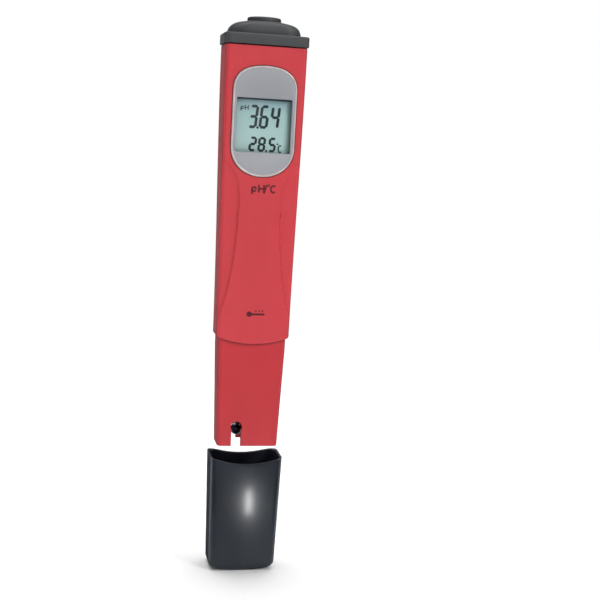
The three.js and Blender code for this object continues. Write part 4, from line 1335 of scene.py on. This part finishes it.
def glass_electrode():
    """The bulb, a hollow ball open at its neck, and the clear stem it is blown on to."""
    sweep = np.linspace(-math.pi / 2, math.acos(BULB_NECK / BULB_RADIUS), 24)

    def ball(radius, turns):
        return [(radius * math.cos(a), BULB_Z + radius * math.sin(a)) for a in turns]

    walls = ball(BULB_RADIUS, sweep) + ball(BULB_RADIUS - GLASS_WALL, sweep[::-1])
    bulb = lathe("glass_bulb", walls, ELECTRODE_X, PROBE_Y, 72)
    finish_piece(bulb, BULB_GLASS, angle=60)
    bore = STEM_RADIUS - GLASS_WALL
    profile = [
        (bore - 0.4, STEM_LOW), (bore, STEM_LOW), (bore + 0.3, STEM_LOW + 0.4),
        (STEM_RADIUS, STEM_LOW + 1.3), (STEM_RADIUS, STEM_TOP - 0.2),
        (STEM_RADIUS - 0.2, STEM_TOP), (bore, STEM_TOP), (bore, STEM_LOW + 1.4),
    ]
    stem = lathe("electrode_stem", profile, ELECTRODE_X, PROBE_Y, 64, closed=True)
    finish_piece(stem, GLASS, angle=60)


def straight_rods():
    """Plain rods, each as tall as its CAD node and in the middle of it."""
    for name, body, material, radius, soften, segments in (
        ("inner_electrode_wire", "meter", SILVER_WIRE, 0.4, 0.2, 24),
        ("reference_wire", "meter", SILVER_WIRE, 0.4, 0.2, 24),
        ("reference_junction", "meter", CERAMIC, JUNCTION_RADIUS, 0.3, 40),
        ("switch_plunger", "switch_plunger", NYLON, 0.95, 0.25, 32),
    ):
        made = rounded_rod(name, radius, heights(name), soften, *middle(name), segments)
        finish_piece(made, material, body)


def temperature_sensor():
    """A steel sleeve with a round nose."""
    low, high = heights("temperature_sensor")
    r = SENSOR_RADIUS
    nose = [(r * math.sin(a), low + r * (1 - math.cos(a))) for a in np.linspace(0, math.pi / 2, 12)]
    profile = [*nose, (r, high - 0.3), (r - 0.3, high), (0, high)]
    finish_piece(lathe("temperature_sensor", profile, SENSOR_X, PROBE_Y, 56), STEEL)


def leads():
    """Three wires from the top of the probe to the back of the board."""
    back = box_mm("main_circuit_board")[1][1] + GAP + 0.9
    for name, material, x, end_x in (
        ("signal_lead", LEAD_RED, ELECTRODE_X, -6.5),
        ("reference_lead", LEAD_BLACK, JUNCTION_X, 0.4),
        ("thermistor_lead", LEAD_WHITE, SENSOR_X, 5.6),
    ):
        start, end = heights(name)
        rise = end - start
        path = bezier([
            (x, PROBE_Y, start),
            (x, PROBE_Y, start + rise * 0.45),
            ((x + end_x) / 2, 2.6, start + rise * 0.5),
            (end_x, back, end - rise * 0.4),
            (end_x, back, end),
        ], 50, last=True)
        finish_piece(tube(name, path, 0.6), material, angle=60)


# ---- sensor cap --------------------------------------------------------------------------


def foot_lift(x, half):
    """How far the closed end has risen at x: flat in the middle, swept up at the sides."""
    curve = bezier([(5, 0), (half - 3.8, 0.8), (half, 2.3), (half, 7)], 60, last=True)
    return np.interp(np.abs(x), curve[:, 0], curve[:, 1], left=0)


def sensor_cap():
    """A crowned black cover: rounded closed end, thin wall, dipped rim that meets the skirt."""

    def cup(inset, base, edge):
        """One skin of the cover, from the middle of its closed end to the start of its rim."""
        half = CAP_HALF - inset
        rows = []
        for scale in (0.06, 0.2, 0.4, 0.6, 0.8, 0.92):
            plan = whole_section(cap_size(CAP_SEATED_FOOT, inset + edge)) * scale
            rows.append(at_height(plan, base + foot_lift(plan[:, 0], half)))
        for up, across in rounding(edge, 0, 90, 8):
            plan = whole_section(cap_size(CAP_SEATED_FOOT, inset + across))
            rows.append(at_height(plan, base + up + foot_lift(plan[:, 0], half)))
        for t in np.linspace(0.03, 1, 44):
            plan = whole_section(cap_size(lerp(base + edge, CAP_RIM - 0.3, t), inset))
            low = base + edge + foot_lift(plan[:, 0], half)
            high = CAP_RIM - 0.3 + skirt_lift(plan[:, 0])
            rows.append(at_height(plan, lerp(low, high, t)))
        return rows

    rings = cup(0, CAP_SEATED_FOOT, 1.5)
    for angle in np.radians(np.linspace(20, 160, 7)):
        plan = whole_section(cap_size(CAP_RIM, CAP_WALL / 2 * (1 - math.cos(angle))))
        lip = CAP_RIM - 0.3 + 0.3 * math.sin(angle)
        rings.append(at_height(plan, lip + skirt_lift(plan[:, 0])))
    rings += cup(CAP_WALL, CAP_SEATED_FOOT + CAP_FLOOR, 0.8)[::-1]
    finish_piece(skin("sensor_cap", rings, lift=CAP_LIFT), BLACK, "sensor_cap", angle=50)


def storage_sponge():
    pad = node_block("storage_sponge", 1.2, 5)
    step = pad.modifiers.new("fine", "SUBSURF")
    step.subdivision_type = "SIMPLE"
    step.levels = 3
    apply_modifiers(pad)
    swell(pad, 0.25)
    finish_piece(pad, SPONGE, "sensor_cap", angle=70)


def swell(piece, depth):
    """Gives a soft block an uneven surface."""
    piece.data.update()
    normals = [Vector(v.normal) for v in piece.data.vertices]
    for vertex, normal in zip(piece.data.vertices, normals):
        amount = noise.noise(Vector(vertex.co) * 900) * depth * 0.6 - depth * 0.4
        vertex.co += normal * amount * MM


# ---- board and small electronics ---------------------------------------------------------

CARRIED = {
    "lcd_holder": NYLON,
    "zebra_strip_lower": RUBBER,
    "zebra_strip_upper": RUBBER,
    "main_circuit_board": BOARD,
    "microcontroller_chip": EPOXY,
    "input_amplifier_chip": EPOXY,
    "timing_crystal": NICKEL,
    "trimmer_body": BLUE,
    "switch_body": EPOXY,
}


def carry_over():
    """CAD solids whose shape is right keep it; they get a finish and broken edges."""
    for name, material in CARRIED.items():
        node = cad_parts[name]
        node.data.materials.clear()
        node.data.materials.append(material)
        add_bevel(node, 0.12, 2, 50)


def trimmer_rotor():
    low, high = box_mm("trimmer_rotor")
    rotor = rounded_rod("trimmer_rotor", 1.9, (low[1], high[1]), 0.2, 0, TRIMMER_Z, 48, axis="Y")
    slot = block("slot", (-0.4, 0.4), (high[1] - 0.9, high[1] + 2), (TRIMMER_Z - 3, TRIMMER_Z + 3))
    boolean(rotor, [slot])
    finish_piece(rotor, BRASS, "trimmer_rotor")


# ---- the object --------------------------------------------------------------------------


def build_tester():
    front_shell()
    rear_shell()
    for screw in SCREWS:
        shell_screw(*screw)
    display_bezel()
    display_window()
    lcd_module()
    display_reading()
    # The dark strip at the display's top edge is a painted shadow.
    lcd_shadow_line()
    printed_legend()
    battery_cap()
    ring_seal("battery_cap_seal", "battery_cap", case_size, PLUG_SIZE_AT, (1.95, 2.6))
    power_button()
    button_return_spring()
    button_retainer()
    cell_bridge_plate()
    battery_holder()
    for i in range(1, 5):
        button_cell(f"button_cell_{i}")
    cell_springs()
    probe_guard()
    ring_seal("guard_seal", "meter", guard_size, 50, (-0.05, 0.6))
    stem_hole = (ELECTRODE_X, STEM_RADIUS + GAP)
    sensor_hole = (SENSOR_X, SENSOR_RADIUS + GAP)
    junction_hole = (JUNCTION_X, JUNCTION_RADIUS + GAP)
    probe_disc("probe_bulkhead", EPOXY, (stem_hole, junction_hole, sensor_hole))
    probe_disc("chamber_plug", RUBBER, (stem_hole, (JUNCTION_X, 0.8), sensor_hole))
    glass_electrode()
    temperature_sensor()
    straight_rods()
    leads()
    sensor_cap()
    storage_sponge()
    trimmer_rotor()
    carry_over()


# ---- stage, light and camera -------------------------------------------------------------


def in_reflections(s, toward_viewer):
    """Keeps a value for mirror rays only."""
    return s.times(s.node("LightPath").outputs["Is Glossy Ray"], toward_viewer)


def seen_far_off(s):
    """Rises from 0 near the pen to 1 well away from it, for what the camera sees directly."""
    axes = s.axes(s.place)
    squares = [s.times(axes[key], axes[key]) for key in "XY"]
    away = s.remap(s.math("SQRT", s.math("ADD", *squares)), 0.3, 0.75)
    return s.times(s.node("LightPath").outputs["Is Camera Ray"], away)


def backdrop():
    """A pale floor that sweeps up into a pale wall behind; the front reads dim in reflections."""
    bend = 0.35
    depth = 0.9
    profile = [(-3.0, 0.0), (-0.5, 0.0), (depth, 0.0)]
    for angle in np.linspace(0.1, math.pi / 2, 16):
        profile.append((depth + bend * math.sin(angle), bend * (1 - math.cos(angle))))
    profile.append((depth + bend, 3.0))
    points = [(x, y, z) for y, z in profile for x in (-4.0, 4.0)]
    faces = [(2 * i, 2 * i + 1, 2 * i + 3, 2 * i + 2) for i in range(len(profile) - 1)]
    mesh = bpy.data.meshes.new("backdrop")
    mesh.from_pydata(points, [], faces)
    mesh.shade_smooth()
    sweep = bpy.data.objects.new("backdrop", mesh)
    bpy.context.scene.collection.objects.link(sweep)
    s = Shader("backdrop")
    paper = s.ramp(s.noise(60, 2), [(0.3, 0.93), (0.7, 0.96)])
    dim = in_reflections(s, s.remap(s.axes(s.place)["Y"], 0.02, -0.06))
    far = seen_far_off(s)
    base = s.mix(far, s.mix(dim, paper, (0.10, 0.11, 0.13)), (0.0, 0.0, 0.0))
    s.surface(Base_Color=base, Roughness=0.9, Specular_IOR_Level=0.0)
    s.surface(Emission_Color=(1.0, 1.0, 1.0, 1.0), Emission_Strength=far)
    mesh.materials.append(s.material)


def studio_world():
    """A white surround to the eye, dimmer as a light, and dimmest from the front in mirror rays."""
    world = bpy.data.worlds.new("studio")
    world.use_nodes = True
    s = Nodes(world.node_tree)
    y = s.axes(s.node("TexCoord").outputs["Generated"])["Y"]
    mirrored = in_reflections(s, s.remap(y, 0.15, -0.25))
    strength = s.remap(mirrored, 0, 1, 0.30, 0.10)
    seen = s.math("MAXIMUM", s.node("LightPath").outputs["Is Camera Ray"], strength)
    background = s.tree.nodes["Background"]
    s.feed(background.inputs["Strength"], seen)
    s.feed(background.inputs["Color"], (1, 1, 1, 1))
    bpy.context.scene.world = world


def area_light(name, place, aim, size, power):
    data = bpy.data.lights.new(name, "AREA")
    data.shape = "RECTANGLE"
    data.size, data.size_y = size
    data.energy = power
    light = bpy.data.objects.new(name, data)
    light.location = place
    direction = Vector(aim) - Vector(place)
    light.rotation_euler = direction.to_track_quat("-Z", "Y").to_euler()
    bpy.context.scene.collection.objects.link(light)
    return light


def lighting():
    studio_world()
    display = (0, 0, 0.19)
    area_light("key", (0.62, -0.72, 0.80), display, (0.3, 0.3), 4.2)
    area_light("fill", (-0.15, -1.2, 0.35), display, (0.7, 0.7), 1.0)
    area_light("floor", (0.0, 0.35, 1.3), (0, 0.35, 0), (1.4, 1.0), 14.0)
    area_light("wall", (0.0, 0.2, 1.5), (0, 1.3, 0.3), (2.0, 0.5), 5.0)
    glint = area_light("glint", (0.0125, -0.070, 0.011), (0.004, -0.012, 0.029), (0.004, 0.011), 0.0062)
    glint.visible_diffuse = False
    glint.visible_camera = False


LENS = 68.2
EYE_FROM_TIP = (-81.1, -498.1, 135.4)
LOOK = Vector((0.2019, 0.9699, -0.1366))
UP = Vector((-0.0352, 0.1011, 0.9943))


def camera():
    data = bpy.data.cameras.new("camera")
    data.lens = LENS
    data.sensor_width = 36
    data.clip_start = 0.01
    eye = (Vector(EYE_FROM_TIP) + Vector((0, 0, TIP))) * MM
    back = -LOOK.normalized()
    right = UP.cross(back).normalized()
    turn = Matrix((right, back.cross(right), back)).transposed().to_4x4()
    viewer = bpy.data.objects.new("camera", data)
    viewer.matrix_world = Matrix.Translation(eye) @ turn
    bpy.context.scene.collection.objects.link(viewer)
    bpy.context.scene.camera = viewer


build_tester()
backdrop()
lighting()
camera()
bpy.context.scene.view_settings.view_transform = "Standard"
